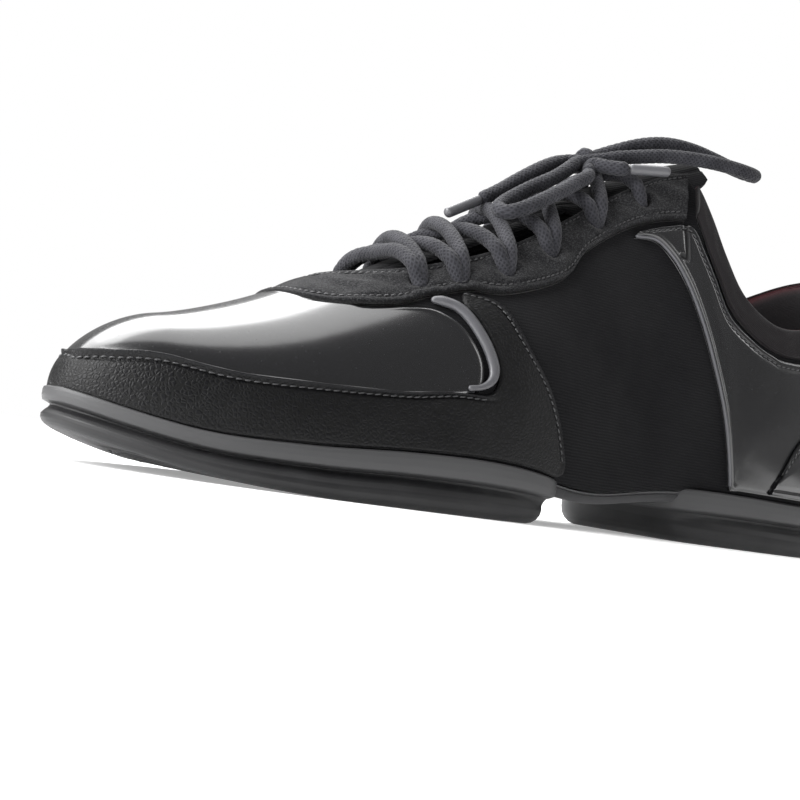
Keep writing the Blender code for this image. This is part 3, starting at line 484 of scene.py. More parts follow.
# %% Bow routes, in metres from the tip of the toe
LOOP_REAR = np.array([
    (0.1506, 0.0004, 0.1091), (0.1560, -0.0006, 0.1120), (0.1620, -0.0022, 0.1150),
    (0.1690, -0.0036, 0.1178), (0.1775, -0.0042, 0.1198), (0.1870, -0.0048, 0.1203),
    (0.1960, -0.0060, 0.1193), (0.2030, -0.0080, 0.1178), (0.2064, -0.0113, 0.1165),
    (0.2040, -0.0146, 0.1156), (0.1970, -0.0158, 0.1152), (0.1875, -0.0150, 0.1150),
    (0.1780, -0.0132, 0.1143), (0.1690, -0.0112, 0.1130), (0.1610, -0.0092, 0.1110),
    (0.1552, -0.0080, 0.1094), (0.1508, -0.0064, 0.1080),
])
LOOP_FRONT = np.array([
    (0.1430, -0.0032, 0.1054), (0.1385, -0.0052, 0.1020), (0.1330, -0.0066, 0.0980),
    (0.1270, -0.0074, 0.0944), (0.1210, -0.0082, 0.0905), (0.1150, -0.0094, 0.0862),
    (0.1118, -0.0120, 0.0832), (0.1134, -0.0152, 0.0826), (0.1185, -0.0162, 0.0852),
    (0.1250, -0.0152, 0.0892), (0.1315, -0.0138, 0.0932), (0.1375, -0.0122, 0.0972),
    (0.1418, -0.0108, 0.1000), (0.1440, -0.0086, 0.1018),
])
END_FRONT = np.array([
    (0.1424, 0.0018, 0.1064), (0.1370, 0.0010, 0.1040), (0.1305, 0.0000, 0.1000),
    (0.1240, -0.0004, 0.0953), (0.1180, -0.0008, 0.0908), (0.1125, -0.0012, 0.0874),
])
END_REAR = np.array([
    (0.1470, -0.0066, 0.1056), (0.1484, -0.0098, 0.1048), (0.1508, -0.0122, 0.1046),
    (0.1545, -0.0135, 0.1051),
])
KNOT = np.array([0.1468, -0.0010, 0.1072])
print("route points:", len(LOOP_REAR), len(LOOP_FRONT), len(END_FRONT), len(END_REAR))


# %% Loops, ends and aglets
FINE_STEP = 0.0004
AGLET_LENGTH, AGLET_RADIUS = 0.0134, 0.0017


def lace_length(path):
    """Length of a path: the sum of its steps."""
    return float(np.sum(np.linalg.norm(np.diff(path, axis=0), axis=1)))


def bow_piece(name, rows):
    """Braided tube along a route of the bow, in place of its solid."""
    route = finer(rows, 1.1*LACE)
    fine = finer(route, FINE_STEP) + STAND
    piece = tube(name, fine, LACE/2, LACE_BRAID, around=28, braid=0.05)
    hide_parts(name.replace("_braided", ""))
    return piece, route + STAND


def aglet_piece(name, route):
    """Aglet in line with the lace's end: a tube of 3.4 mm with a small bead at its open end."""
    share = np.linspace(0, 1, 60)
    path = route[-1] + unit(route[-1] - route[-2])*(AGLET_LENGTH*share - FINE_STEP)[:, None]
    waist, bead = step(0.0, 0.12, share)*step(1, 0.9, share), hump(share, 0.96, 0.03)
    radius = AGLET_RADIUS*(1 - 0.10*waist + 0.03*bead)
    piece = tube(name, path, radius, AGLET_PLASTIC, around=28)
    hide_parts(name.replace("_sleeve", ""))
    return piece


loop_rear, loop_rear_path = bow_piece("lace_loop_rear_braided", LOOP_REAR)
loop_front, loop_front_path = bow_piece("lace_loop_front_braided", LOOP_FRONT)
end_front, end_front_path = bow_piece("lace_end_front_braided", END_FRONT)
end_rear, end_rear_path = bow_piece("lace_end_rear_braided", END_REAR)
aglet_front = aglet_piece("aglet_front_sleeve", end_front_path)
aglet_rear = aglet_piece("aglet_rear_sleeve", end_rear_path)
print("loops", round(lace_length(loop_rear_path), 4), round(lace_length(loop_front_path), 4),
      "ends", round(lace_length(end_front_path), 4), round(lace_length(end_rear_path), 4))

# %% [markdown]
# The knot is where all of them meet. It is made of the same lace: one turn wraps over the middle
# and three short runs pass under it, from loop to loop and from the loops to the ends. A ball would
# be simpler, but the turn and the runs give the knot its real lumps.

# %% Knot
turn = np.linspace(0, 2*np.pi, 90)
wrap_path = KNOT + np.stack([0.0010*np.sin(turn) + 0.0006*np.cos(2*turn),
                             0.0022*np.cos(turn), 0.0021*np.sin(turn)], -1)
runs = [
    np.array([LOOP_REAR[1], LOOP_REAR[0], KNOT + (0.0002, 0.0005, 0.0002), END_FRONT[0], END_FRONT[1]]),
    np.array([LOOP_FRONT[1], LOOP_FRONT[0], KNOT + (0.0000, -0.0028, -0.0004),
              LOOP_REAR[-1], LOOP_REAR[-2]]),
    np.array([LOOP_FRONT[-1], KNOT + (-0.0010, -0.0050, -0.0030), END_REAR[0], END_REAR[1]]),
]
bodies = [(wrap_path, 0.0019)] + [(finer(run, FINE_STEP), 0.00188) for run in runs]
for number, (path, radius) in enumerate(bodies):
    towards = (1, 0.2, 0) if number == 0 else (0, 0, 1)
    tube(f"knot_run_{number}", path + STAND, radius, LACE_BRAID,
                           around=24, towards=towards, braid=0.05, ends=number > 0)
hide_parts("lace_knot")

# %% Cord facts
print("the bow: two loops, two ends with aglets, and a knot")

# %% [markdown]
# The leather guard, the eyestay, the quarters, the counter and the collar are bands: each runs
# from one side round the toe or the heel to the other side, between a low and a high edge on the
# last. A flat pattern bent into place would do as well, but a table of the two edges is easy to
# correct against the real seams. Each band also gets a map in metres for its grain and stitches.

# %% Edges of the bands
TOP_LINE = np.array([
    # station, v
    (0.2620, 1.000), (0.2655, 0.940), (0.2750, 0.870), (0.2920, 0.795), (0.3150, 0.735),
    (0.3450, 0.695), (0.3850, 0.672), (0.4300, 0.672), (0.4800, 0.700), (0.5500, 0.742),
    (0.6100, 0.775), (0.6600, 0.790), (0.6950, 0.780), (0.7030, 0.690), (0.7100, 0.600),
    (0.7180, 0.512), (0.7300, 0.444), (0.7460, 0.390), (0.7660, 0.352), (0.7900, 0.334),
    (0.8400, 0.334), (0.9000, 0.378), (0.9500, 0.435), (1.0000, 0.495),
])
TOE_GUARD = np.array([
    # station low, v low, station high, v high
    (0.3700, 0.500, 0.3640, 0.508), (0.4050, 0.429, 0.3640, 0.460), (0.4310, 0.282, 0.3820, 0.350),
    (0.4610, 0.162, 0.3905, 0.240), (0.4770, 0.081, 0.3880, 0.190), (0.4830, 0.015, 0.3740, 0.168),
    (0.4400, 0.012, 0.3300, 0.180), (0.3600, 0.012, 0.2800, 0.190), (0.2700, 0.012, 0.2100, 0.236),
    (0.1800, 0.012, 0.1360, 0.302), (0.1100, 0.012, 0.0790, 0.395), (0.0550, 0.012, 0.0430, 0.468),
    (0.0370, 0.012, 0.0298, 0.532), (0.0200, 0.012, 0.0204, 0.628), (0.0080, 0.012, 0.0148, 0.772),
    (0.0008, 0.012, 0.0126, 0.912), (0.0000, 1.000, 0.0124, 1.000),
])
EYESTAY = np.array([
    (0.6720, 0.600, 0.6950, 0.790), (0.6360, 0.615, 0.6600, 0.795), (0.5900, 0.612, 0.6100, 0.775),
    (0.5310, 0.572, 0.5500, 0.742), (0.4990, 0.508, 0.5200, 0.724), (0.4650, 0.483, 0.4800, 0.700),
    (0.4110, 0.478, 0.4300, 0.672), (0.3730, 0.518, 0.3850, 0.672), (0.3320, 0.535, 0.3450, 0.695),
    (0.2960, 0.540, 0.3150, 0.735), (0.2620, 0.590, 0.2920, 0.795), (0.2320, 0.660, 0.2750, 0.870),
    (0.2100, 0.800, 0.2655, 0.940), (0.2020, 1.000, 0.2620, 1.000),
])
QUARTER = np.array([
    (0.6000, 0.580, 0.6080, 0.592), (0.6270, 0.555, 0.6450, 0.590), (0.6480, 0.495, 0.6790, 0.578),
    (0.6640, 0.430, 0.6920, 0.505), (0.6800, 0.355, 0.7035, 0.440), (0.7020, 0.252, 0.7240, 0.352),
    (0.7270, 0.140, 0.7620, 0.300), (0.7450, 0.036, 0.7960, 0.276), (0.7490, 0.012, 0.8060, 0.272),
    (0.7640, 0.012, 0.8160, 0.271), (0.8000, 0.012, 0.8380, 0.272), (0.8500, 0.012, 0.8700, 0.284),
    (0.9000, 0.012, 0.9040, 0.312), (0.9500, 0.012, 0.9450, 0.352), (0.9850, 0.012, 0.9800, 0.388),
    (1.0000, 0.012, 1.0000, 0.410),
])
COLLAR = np.array([
    (0.6900, 0.610, 0.7010, 0.725), (0.6985, 0.512, 0.7095, 0.605), (0.7100, 0.440, 0.7220, 0.492),
    (0.7280, 0.362, 0.7460, 0.398), (0.7650, 0.306, 0.7900, 0.344), (0.8120, 0.281, 0.8360, 0.343),
    (0.8620, 0.291, 0.8800, 0.367), (0.9120, 0.326, 0.9200, 0.410), (0.9570, 0.371, 0.9600, 0.458),
    (0.9880, 0.407, 0.9880, 0.492), (1.0000, 0.421, 1.0000, 0.505),
])
HEEL_COUNTER = np.array([
    (0.8060, 0.015, 0.8200, 0.055), (0.8350, 0.015, 0.8400, 0.115), (0.8800, 0.015, 0.8800, 0.170),
    (0.9300, 0.015, 0.9300, 0.205), (0.9750, 0.015, 0.9750, 0.222), (0.9930, 0.015, 0.9930, 0.228),
    (1.0000, 0.015, 1.0000, 0.230),
])
print("rows of the bands:", [len(rows) for rows in (TOE_GUARD, EYESTAY, QUARTER, COLLAR, HEEL_COUNTER)])


# %% A band of the last
class Band:
    """Half of a band, from its lateral end to the middle, with the distances needed for its relief:
    u along it, w up from the low edge, both in metres, and its width."""

    def __init__(self, rows, steps, across, spread=0.0):
        table = numbered(rows)
        fine = np.linspace(0, len(rows) - 1, 60*len(rows))
        columns = [spline(table, fine, c + 1) for c in range(4)]
        edges = [last_point(columns[c], np.clip(columns[c + 1], 0, 1) - 1) for c in (0, 2)]
        longest = np.max([np.linalg.norm(np.diff(edge, axis=0), axis=1) for edge in edges], axis=0)
        length = np.concatenate([[0], np.cumsum(longest)])
        self.row = np.interp(np.linspace(0, length[-1], steps + 1), length, fine)
        self.low, self.v_low, self.high, self.v_high = (spline(table, self.row, c + 1) for c in range(4))
        even = np.linspace(0, 1, across + 1)
        self.share = ((1 - spread)*even + spread*(1 - np.cos(np.pi*even))/2)[None, :]
        self.station, self.v = self.at(self.share)
        surface = last_point(self.station, self.v - 1)
        climb = np.linalg.norm(np.diff(surface, axis=1), axis=2)
        self.w = np.concatenate([np.zeros((steps + 1, 1)), np.cumsum(climb, axis=1)], 1)
        self.width = self.w[:, -1:]
        self.u = np.broadcast_to(way_along(surface[:, across//2])[:, None], self.w.shape)
        self.edge = np.minimum(self.w, self.width - self.w)

    def at(self, share):
        """Station and v at a share of the way from the low edge to the high edge."""
        station = self.low[:, None] + (self.high - self.low)[:, None]*share
        v = self.v_low[:, None] + (self.v_high - self.v_low)[:, None]*share
        return station, np.clip(v, 0, 1)

    def both(self, lift):
        """Grid of the whole band: the lateral half, the middle, then the medial half backwards."""
        lateral = on_last(self.station, self.v - 1, lift)
        medial = on_last(self.station, 1 - self.v, lift)[::-1]
        return np.concatenate([lateral[:-1], 0.5*(lateral[-1:] + medial[:1]), medial[1:]])

    def map(self):
        """Map in metres: u along the whole band and w up it."""
        far = 2*self.u.max() - self.u[::-1]
        return np.stack([np.concatenate([self.u, far[1:]]), self.whole(self.w)], -1)

    def whole(self, values):
        """Numbers of one half carried to the whole band."""
        return np.concatenate([values, values[::-1][1:]])


def rounded(distance, radius):
    """Quarter circle: 0 at the edge and 1 from radius inwards."""
    q = np.clip(1 - distance/radius, 0, 1)
    return np.sqrt(1 - q*q)


def cut_layer(band, base, thickness, radius):
    """Outer lift of a layer: its base, plus its thickness rounded off within a radius of the edges."""
    return base + thickness*rounded(band.edge, radius)


def pillow(x, power=4):
    """Section of a pad, 1 in the middle and 0 at x = -1 and 1: half an ellipse with full shoulders."""
    return np.sqrt(np.clip(1 - x**power, 0, 1))


def body_of(name, band, outer, inner, material, slot, masks=None):
    """Closed piece of a band between an outer and an inner lift."""
    masks = {key: band.whole(np.broadcast_to(value, band.w.shape)) for key, value in (masks or {}).items()}
    return layer(name, band.both(outer), band.both(inner), material, slot, band.map(), masks)


print("crest to feather at the ball:", round(float(np.linalg.norm(on_last(0.3, 0) - on_last(0.3, -1))), 4))

# %% [markdown]
# The base of the shoe is a sock of stretch textile with fine ribs along the foot. It is one open
# surface from the sole's edge up to the throat and the collar, so the wall comes from a Solidify
# modifier. The ribs are far too fine for geometry, so a sine of the height draws them, and a second
# sine along the foot breaks them into knitted stitches.

# %% Stretch textile
knit = Finish("stretch_rib", Roughness=0.92, Specular_IOR_Level=0.08, Sheen_Weight=0.03,
              Sheen_Roughness=0.4)
spot = knit.place()
height, along_foot = knit.part(spot, 2), knit.part(spot, 0)
drift = knit.noise(60, 1)*0.0006
RIB_PITCH, LOOP_PITCH = 0.00080, 0.00065
rib = (height + drift).waves(RIB_PITCH)*0.5 + 0.5
loop = (along_foot + rib*0.0002).waves(LOOP_PITCH)*0.5 + 0.5
fabric = rib*0.6 + loop*0.25 + knit.noise(3000, 2)*0.3
patch = knit.noise(35, 3).ramp(0.3, 0.75)
knit_colour = knit.mix(fabric, knit.mix(patch, (0.006, 0.006, 0.007), (0.010, 0.010, 0.011)),
                       knit.mix(patch, (0.013, 0.013, 0.014), (0.018, 0.018, 0.019)))
STRETCH_RIB = knit.set(Base_Color=knit_colour, Normal=knit.bump(fabric, 0.00018, 0.8))

# %% Upper
stations = np.unique(np.concatenate([(1 - np.cos(np.linspace(0, np.pi, 150)))/2,
                                     np.linspace(0.69, 0.80, 45), TOP_LINE[:5, 0]]))
top = np.where(stations <= TOP_LINE[0, 0], 1.0, spline(TOP_LINE, stations, 1))
sides = np.linspace(0, 1, 37)[None, :]**0.9*top[:, None]
FOLDS = (
    # middle and width as stations, height in metres
    (0.525, 0.016, -0.0005), (0.560, 0.013, -0.0004), (0.600, 0.015, -0.0003),
    (0.543, 0.012, 0.0002), (0.580, 0.012, 0.0002),
)


def soft_folds(station, v):
    """Shallow folds where the empty textile relaxes: a sum of slanting bells, three hollows in front
    of the quarter with two low ridges between them, which fade to nothing at the edges."""
    slant = station - 0.10*v
    folds = sum(height*hump(slant, middle, width) for middle, width, height in FOLDS)
    return folds*step(0.04, 0.16, v)*step(0.62, 0.45, v)


folds = soft_folds(stations[:, None], sides)
halves = [on_last(stations[:, None], q, folds) for q in (sides - 1, 1 - sides)]
for half in halves:
    half[-1, :, 1] = STAND[1]
face = quads_of(len(stations), sides.shape[1])
sock_points = np.concatenate([half.reshape(-1, 3) for half in halves])
sock_quads = np.concatenate([face, face[:, ::-1] + halves[0].shape[0]*halves[0].shape[1]])
upper = make_piece("upper_textile", sock_points, sock_quads, STRETCH_RIB, weld=1e-5)
wall = upper.modifiers.new("wall", "SOLIDIFY")
wall.thickness, wall.offset, wall.use_even_offset = 0.0015, -1, False
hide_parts("upper")

# %% [markdown]
# The toe guard is grained leather. Its upper edge is folded over and stitched down: the fold is a
# small roll and the stitches sit in a groove below it. The rear edge is stitched too. All of this is
# relief in the geometry, and only the grain itself, with pebbles about a millimetre wide, is a bump.

# %% Grained leather
leather = Finish("grained_leather_black", Specular_IOR_Level=0.24)
spot = leather.place()
shifts = leather.node("ShaderNodeTexNoise", {}, {"Vector": spot, "Scale": 300.0}, output=1)
small_shifts = leather.stretched(shifts, (0.0009, 0.0009, 0.0009))
warp = leather.node("ShaderNodeVectorMath", {"operation": "ADD"}, {0: spot, 1: small_shifts})
cells, fine_cells = (
    leather.node("ShaderNodeTexVoronoi", {"feature": feature}, {"Vector": warp, "Scale": scale})
    for feature, scale in (("DISTANCE_TO_EDGE", 980.0), ("SMOOTH_F1", 1900.0)))
pebble = cells.ramp(0.0, 0.30)
wrinkle = leather.noise(150, 4, 0.6, at=leather.stretched(spot, (1.6, 1.0, 0.55)))
grain = pebble*0.65 + fine_cells*0.25 + wrinkle*0.6
folded = leather.mask("fold")
wear = leather.noise(45, 3).ramp(0.5, 0.8)
leather_top = leather.mix(wear, (0.004, 0.004, 0.005), (0.008, 0.008, 0.009))
leather_colour = leather.mix(pebble, (0.003, 0.003, 0.003), leather_top)
leather_colour = leather.mix(folded, leather_colour, (0.003, 0.003, 0.004))
LEATHER = leather.set(Base_Color=leather_colour, Roughness=(1 - pebble)*0.10 + wear*0.10 + 0.40,
                      Normal=leather.bump(grain, 0.00016, 0.6))

# %% Toe guard
guard = Band(TOE_GUARD, 290, 40, spread=0.35)
from_top, on_rear = guard.width - guard.w, step(5.6, 4.4, guard.row)[:, None]
flatter_tip = 1 - 0.75*step(13.0, 15.6, guard.row)[:, None]
roll = hump(from_top, 0.0009, 0.0008)*(1 - on_rear)*flatter_tip
groove = hump(from_top, 0.0027, 0.0007)*(1 - on_rear)*flatter_tip
rear_roll = hump(guard.w, 0.0006, 0.0006)*on_rear
rear_groove = hump(guard.w, 0.0020, 0.0006)*on_rear
hollow = 0.0011*hump(guard.station, 0.33, 0.05)*hump(guard.v, 0.10, 0.07)
swell = 0.0006*hump(guard.station, 0.415, 0.022)*hump(guard.v, 0.16, 0.10)
crease = hump(guard.station - 0.15*guard.v, 0.075, 0.006) + hump(guard.station - 0.10*guard.v, 0.110, 0.007)
crease = 0.00012*crease*step(0.02, 0.08, guard.v)*step(0.0, 0.004, from_top)
outer = cut_layer(guard, base=0.0005, thickness=0.0010, radius=0.0010) + 0.0010*roll - 0.0004*groove
outer = outer + 0.0004*rear_roll - 0.0003*rear_groove - hollow*0.5 + swell - crease
toe_guard = body_of("toe_guard_leather", guard, outer, -0.0004, LEATHER, "grained_leather",
                    {"fold": np.clip(roll*1.3 + rear_roll*1.2, 0, 1)})
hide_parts("toe_guard")

# %% [markdown]
# The toe is patent leather: a smooth leather under a clear glossy film. The finish is dark, of low
# roughness, and has a clear coat on top. A very slight waviness keeps the reflections from looking
# like glass. The panel's rear edge turns down in front of the throat.

# %% Patent leather
patent = Finish("patent_black", Coat_Roughness=0.15, Coat_IOR=1.5, Specular_IOR_Level=0.6)
waves = patent.noise(70, 2) + patent.noise(420, 2)*0.05
dust, slit_mask = patent.noise(1500, 2).ramp(0.66, 0.80), patent.mask("slit").ramp(0.04, 0.35)
PATENT = patent.set(Base_Color=patent.mix(dust, (0.0035, 0.0035, 0.0045), (0.010, 0.010, 0.011)),
                    Coat_Weight=0.90 - dust*0.2 - slit_mask*0.70,
                    Roughness=dust*0.15 + slit_mask*0.6 + 0.22, Normal=patent.bump(waves, 0.0005, 0.35))

# %% Patent toe
PATENT_REAR = np.array([
    # share from the crest to the stitch line, station
    (0.00, 0.1960), (0.27, 0.2030), (0.40, 0.2130), (0.45, 0.2240), (0.51, 0.2430), (0.57, 0.2680),
    (0.60, 0.3000), (0.63, 0.3250), (0.69, 0.3455), (0.81, 0.3660), (0.93, 0.3740), (0.98, 0.3700),
    (1.00, 0.3640),
])
share = np.linspace(-1, 1, 141)
rear = spline(PATENT_REAR, np.abs(share), 1) + 0.008*step(0.62, 0.5, np.abs(share))
ways = np.linspace(0, 1, 101)[:, None]**1.3
tip = TOE_GUARD[-1, 2] + 0.0004
station = tip + (rear[None, :] - tip)*ways
stitch = TOE_GUARD[6:, 2:4][::-1]
edge = np.interp(station, stitch[:, 0], stitch[:, 1]) - 0.006*step(0.0, 0.05, station)
q = share[None, :]*(1 - np.clip(edge, 0, 0.999))
to_rear = (rear[None, :] - station)*LAST_LENGTH
at_notch = step(0.58, 0.66, np.abs(share))[None, :]
lift = 0.0003 + 0.0009*(1 - at_notch*(1 - rounded(to_rear, 0.0012)))
lift = lift + 0.0003*at_notch*hump(to_rear, 0.0016, 0.0010)
toe_patent = layer("toe_patent_gloss", on_last(station, q, lift), on_last(station, q, -0.0004), PATENT,
                   "patent_leather", np.stack([station*LAST_LENGTH, q*0.05], -1))
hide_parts("toe_patent")

# %% [markdown]
# Where the guard ends behind the patent toe, its edge turns up round a notch and is bound with a
# shiny grey piping. It is a soft tube that follows the notch, a little flattened on the shoe. A
# raised edge of the guard would be less work, but a tube of its own gives the piping its own finish.

# %% Notch piping
piping = Finish("piping_grey", Coat_Weight=0.35, Coat_Roughness=0.15)
crinkle = piping.noise(700, 3, 0.6, at=piping.place("UV"))
PIPING = piping.set(Base_Color=piping.mix(crinkle, (0.060, 0.060, 0.066), (0.115, 0.115, 0.125)),
                    Roughness=crinkle*0.2 + 0.20, Normal=piping.bump(crinkle, 0.00008, 0.6))

NOTCH = np.array([
    # station, v
    (0.3540, 0.187), (0.3680, 0.189), (0.3780, 0.200), (0.3835, 0.222), (0.3830, 0.260),
    (0.3745, 0.335), (0.3580, 0.440), (0.3420, 0.490), (0.3290, 0.512),
])
SIDES = ((-1, "lateral"), (1, "medial"))


def piping_along(name, station, q, lift, radius, around, flat=1.0):
    """Piping on a line of the last: a tube at this lift, upright on the surface."""
    return tube(name, on_last(station, q, lift), radius, PIPING, around=around,
                towards=last_normal(station, q), flat=flat)


place = np.linspace(0, len(NOTCH) - 1, 150)
pipe_station, pipe_v = (spline(numbered(NOTCH), place, column) for column in (1, 2))
thick_pipe = 0.00075 + 0.00075*step(0.5, 4.0, place)*step(8.3, 7.0, place)
for side, name in SIDES:
    pipe = piping_along(f"notch_binding_{name}", pipe_station, side*(1 - pipe_v), 0.0013,
                        thick_pipe, 24, 0.8)
    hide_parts(f"notch_piping_{name}")

# %% [markdown]
# The eyestay is suede, which is leather with its surface brushed into a short nap. It is dull, with
# light and dark specks, so the finish is rough and the specks come from a fine noise. The eyelets
# are plain punched holes. A Boolean could cut them, but on so thin a layer it is enough that the
# surface drops away near each one and is painted near black there as shade. A thin line along the
# cut edges is darker too.

# %% Suede
suede = Finish("suede_charcoal", Roughness=0.96, Specular_IOR_Level=0.10, Sheen_Weight=0.09,
               Sheen_Roughness=0.45)
nap = suede.noise(2300, 3, 0.7)
brushed = suede.noise(420, 3, 0.6, at=suede.stretched(suede.place(), (0.5, 1.0, 1.4)))
speck = nap.ramp(0.42, 0.72)
cloud = suede.noise(70, 3).ramp(0.3, 0.7)
rim = suede.mask("cut")
suede_colour = suede.mix(speck, suede.mix(cloud, (0.006, 0.006, 0.007), (0.010, 0.010, 0.011)),
                         suede.mix(cloud, (0.040, 0.040, 0.042), (0.062, 0.062, 0.065)))
# painted shade: the mask cut makes the punched eyelet holes near black; it also darkens a thin line along
# the cut edges
suede_colour = suede.mix(rim, suede_colour, (0.008, 0.008, 0.008))
SUEDE = suede.set(Base_Color=suede_colour, Normal=suede.bump(nap*0.6 + brushed*0.7, 0.00035, 0.9))

# %% Eyestay
EYELETS = np.array([
    # station, v
    (0.3250, 0.610), (0.3680, 0.575), (0.4210, 0.565),
    (0.4810, 0.600), (0.5530, 0.665), (0.6230, 0.700),
])
stay = Band(EYESTAY, 300, 44, spread=0.2)
surface = last_point(stay.station, stay.v - 1)
holes = last_point(EYELETS[:, 0], EYELETS[:, 1] - 1)
away = np.min(np.linalg.norm(surface[:, :, None] - holes[None, None], axis=-1), axis=-1)
punched = step(0.0026, 0.0016, away)
puckers = 0.0004*hump(away, 0.0042, 0.0012)
seam_groove = hump(stay.edge, 0.0024, 0.0006)
rumple = 0.00025*np.sin(stay.u*420 + 3*np.sin(stay.w*300))*step(0.0, 0.004, stay.edge)
outer = cut_layer(stay, base=0.0007, thickness=0.0011, radius=0.0009) - 0.0003*seam_groove
outer = outer + puckers + rumple - 0.0022*punched
# the mask cut: painted shade in the eyelet holes, and a darker line at the cut edges
eyestay = body_of("eyestay_suede", stay, outer, np.minimum(outer - 0.0003, -0.0002), SUEDE,
                  "suede_leather", {"cut": np.clip(punched + hump(stay.edge, 0.0, 0.0004)*0.7, 0, 1)})
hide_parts("eyestay")

# %% [markdown]
# The quarters wrap the heel in patent leather. The counter is a second patent layer low on the heel.
# Both have soft waves where the film is pulled over the padding, which the highlights show well. The
# front corner of the quarter has a short slit of two straight cuts. A real cut would need holes in
# the grid, so the slit is a narrow valley along the two lines, and its mask takes the gloss away.

# %% Quarters
FILM_WAVES = 0.00015


def pulled(band, amount):
    """Soft waves of a film pulled over padding: sines along and up the band that die at the edges."""
    ripple = np.sin(band.u*150 + 2*np.sin(band.w*90)) + 0.6*np.sin(band.u*63 - band.w*140 + 1)
    return amount*ripple*step(0.002, 0.010, band.edge)


quarter_band = Band(QUARTER, 260, 50, spread=0.3)
lower_end = step(8.6, 7.6, quarter_band.row)[:, None]
lip = hump(quarter_band.w, 0.0008, 0.0007)*lower_end
top_groove = hump(quarter_band.width - quarter_band.w, 0.0022, 0.0006)
outer = cut_layer(quarter_band, base=0.0007, thickness=0.0010, radius=0.0009)
outer = outer + 0.0006*lip - 0.0003*top_groove
SLIT = np.array([(0.672, 0.605), (0.667, 0.487), (0.660, 0.496)])  # station, v
V_SCALE = np.array([1, 0.36])  # makes a step of v as long as a step of station
slit = np.zeros_like(quarter_band.station)
for start, end in zip(SLIT, SLIT[1:]):
    # distance to the line: what is left of the way from its start after the part along it
    along = (end - start)*V_SCALE
    away = (np.stack([quarter_band.station, quarter_band.v], -1) - start)*V_SCALE
    part_way = np.clip((away @ along)/(along @ along), 0, 1)
    slit = np.maximum(slit, hump(np.linalg.norm(away - part_way[..., None]*along, axis=-1), 0, 0.0022))
outer = outer + pulled(quarter_band, FILM_WAVES) - 0.0011*slit
quarter = body_of("quarter_patent", quarter_band, outer, -0.0002, PATENT, "patent_leather", {"slit": slit})
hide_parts("quarter")
front_rows = quarter_band.row < 7.9
edge_station, edge_v = quarter_band.low[front_rows], quarter_band.v_low[front_rows]
for side, name in SIDES:
    piping_along(f"quarter_piping_{name}", edge_station, side*(1 - edge_v), 0.0012, 0.00055, 12)

# %% Heel counter
counter_band = Band(HEEL_COUNTER, 140, 32, spread=0.3)
outer = cut_layer(counter_band, base=0.0020, thickness=0.0009, radius=0.0009)
outer = outer - 0.0003*hump(counter_band.edge, 0.0021, 0.0005) + pulled(counter_band, FILM_WAVES)
heel_counter = body_of("heel_counter_patent", counter_band, outer, 0.0006, PATENT, "patent_leather")
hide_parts("heel_counter")

# %% [markdown]
# The collar is padded, so the foot can point without the edge cutting in. It is a foam roll under
# a thin knit, thick in the middle and pulled in at both seams. Cloth simulation could puff it up,
# but its section is so small that half an ellipse with full shoulders already gives the right swell.

# %% Collar knit
collar_knit = Finish("collar_knit", Roughness=0.93, Specular_IOR_Level=0.15, Sheen_Weight=0.08,
                     Sheen_Roughness=0.4)
on_collar = collar_knit.place("UV")
u_way, w_way = collar_knit.part(on_collar, 0), collar_knit.part(on_collar, 1)
KNIT_PITCH = 0.0009
crossed_rows = (u_way + w_way).waves(KNIT_PITCH)*(u_way - w_way).waves(KNIT_PITCH)
knots = crossed_rows*0.35 + collar_knit.noise(2400, 2)*0.5
warm = collar_knit.mask("edge")
collar_colour = collar_knit.mix(knots + 0.3, (0.005, 0.004, 0.005), (0.022, 0.020, 0.021))
collar_colour = collar_knit.mix(warm, collar_colour, (0.032, 0.006, 0.008))
COLLAR_KNIT = collar_knit.set(Base_Color=collar_colour, Normal=collar_knit.bump(knots, 0.0002, 0.8))

# %% Collar band and lining
collar_rows = Band(COLLAR, 220, 28)
half_way = np.clip(2*collar_rows.share - 1, -1, 1)
swollen = pillow(half_way)
wrinkles = np.sin(collar_rows.u*520 + np.sin(collar_rows.u*97)*2)*step(0.7, 0.1, np.abs(half_way))
outer = 0.0004 + 0.0021*swollen + 0.00018*wrinkles*swollen
collar_band = body_of("collar_band_padded", collar_rows, outer, -0.0006, COLLAR_KNIT, "collar_textile",
                      {"edge": 0.55*step(0.93, 0.99, collar_rows.share)})
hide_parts("collar_band")

COLLAR_TOP = COLLAR[:, 2:]
LINING = np.column_stack([COLLAR_TOP[:, 0], np.maximum(COLLAR_TOP[:, 1] - 0.30, 0.05), COLLAR_TOP])
LINING[:3, 1] = COLLAR_TOP[:3, 1] - (0.10, 0.16, 0.22)
lining_rows = Band(LINING, 160, 26)
upward = lining_rows.share
PADDING = 0.0022
puffed = PADDING*pillow(2*upward - 1)
over = PADDING*step(0.90, 1.0, upward)
lining = body_of("collar_lining", lining_rows, -0.0013 + over, -0.0016 - puffed + over*0.9, COLLAR_KNIT,
                 "collar_textile", {"edge": step(0.90, 0.97, lining_rows.share)})

# %% [markdown]
# The tongue closes the throat under the lace. It is a padded flap of the same textile, from under
# the toe panel to above the last eyelets. It could be a thick sheet with a bevel, but two sewn
# channels and a free rounded top edge, a little proud, make it the soft flap that it is.

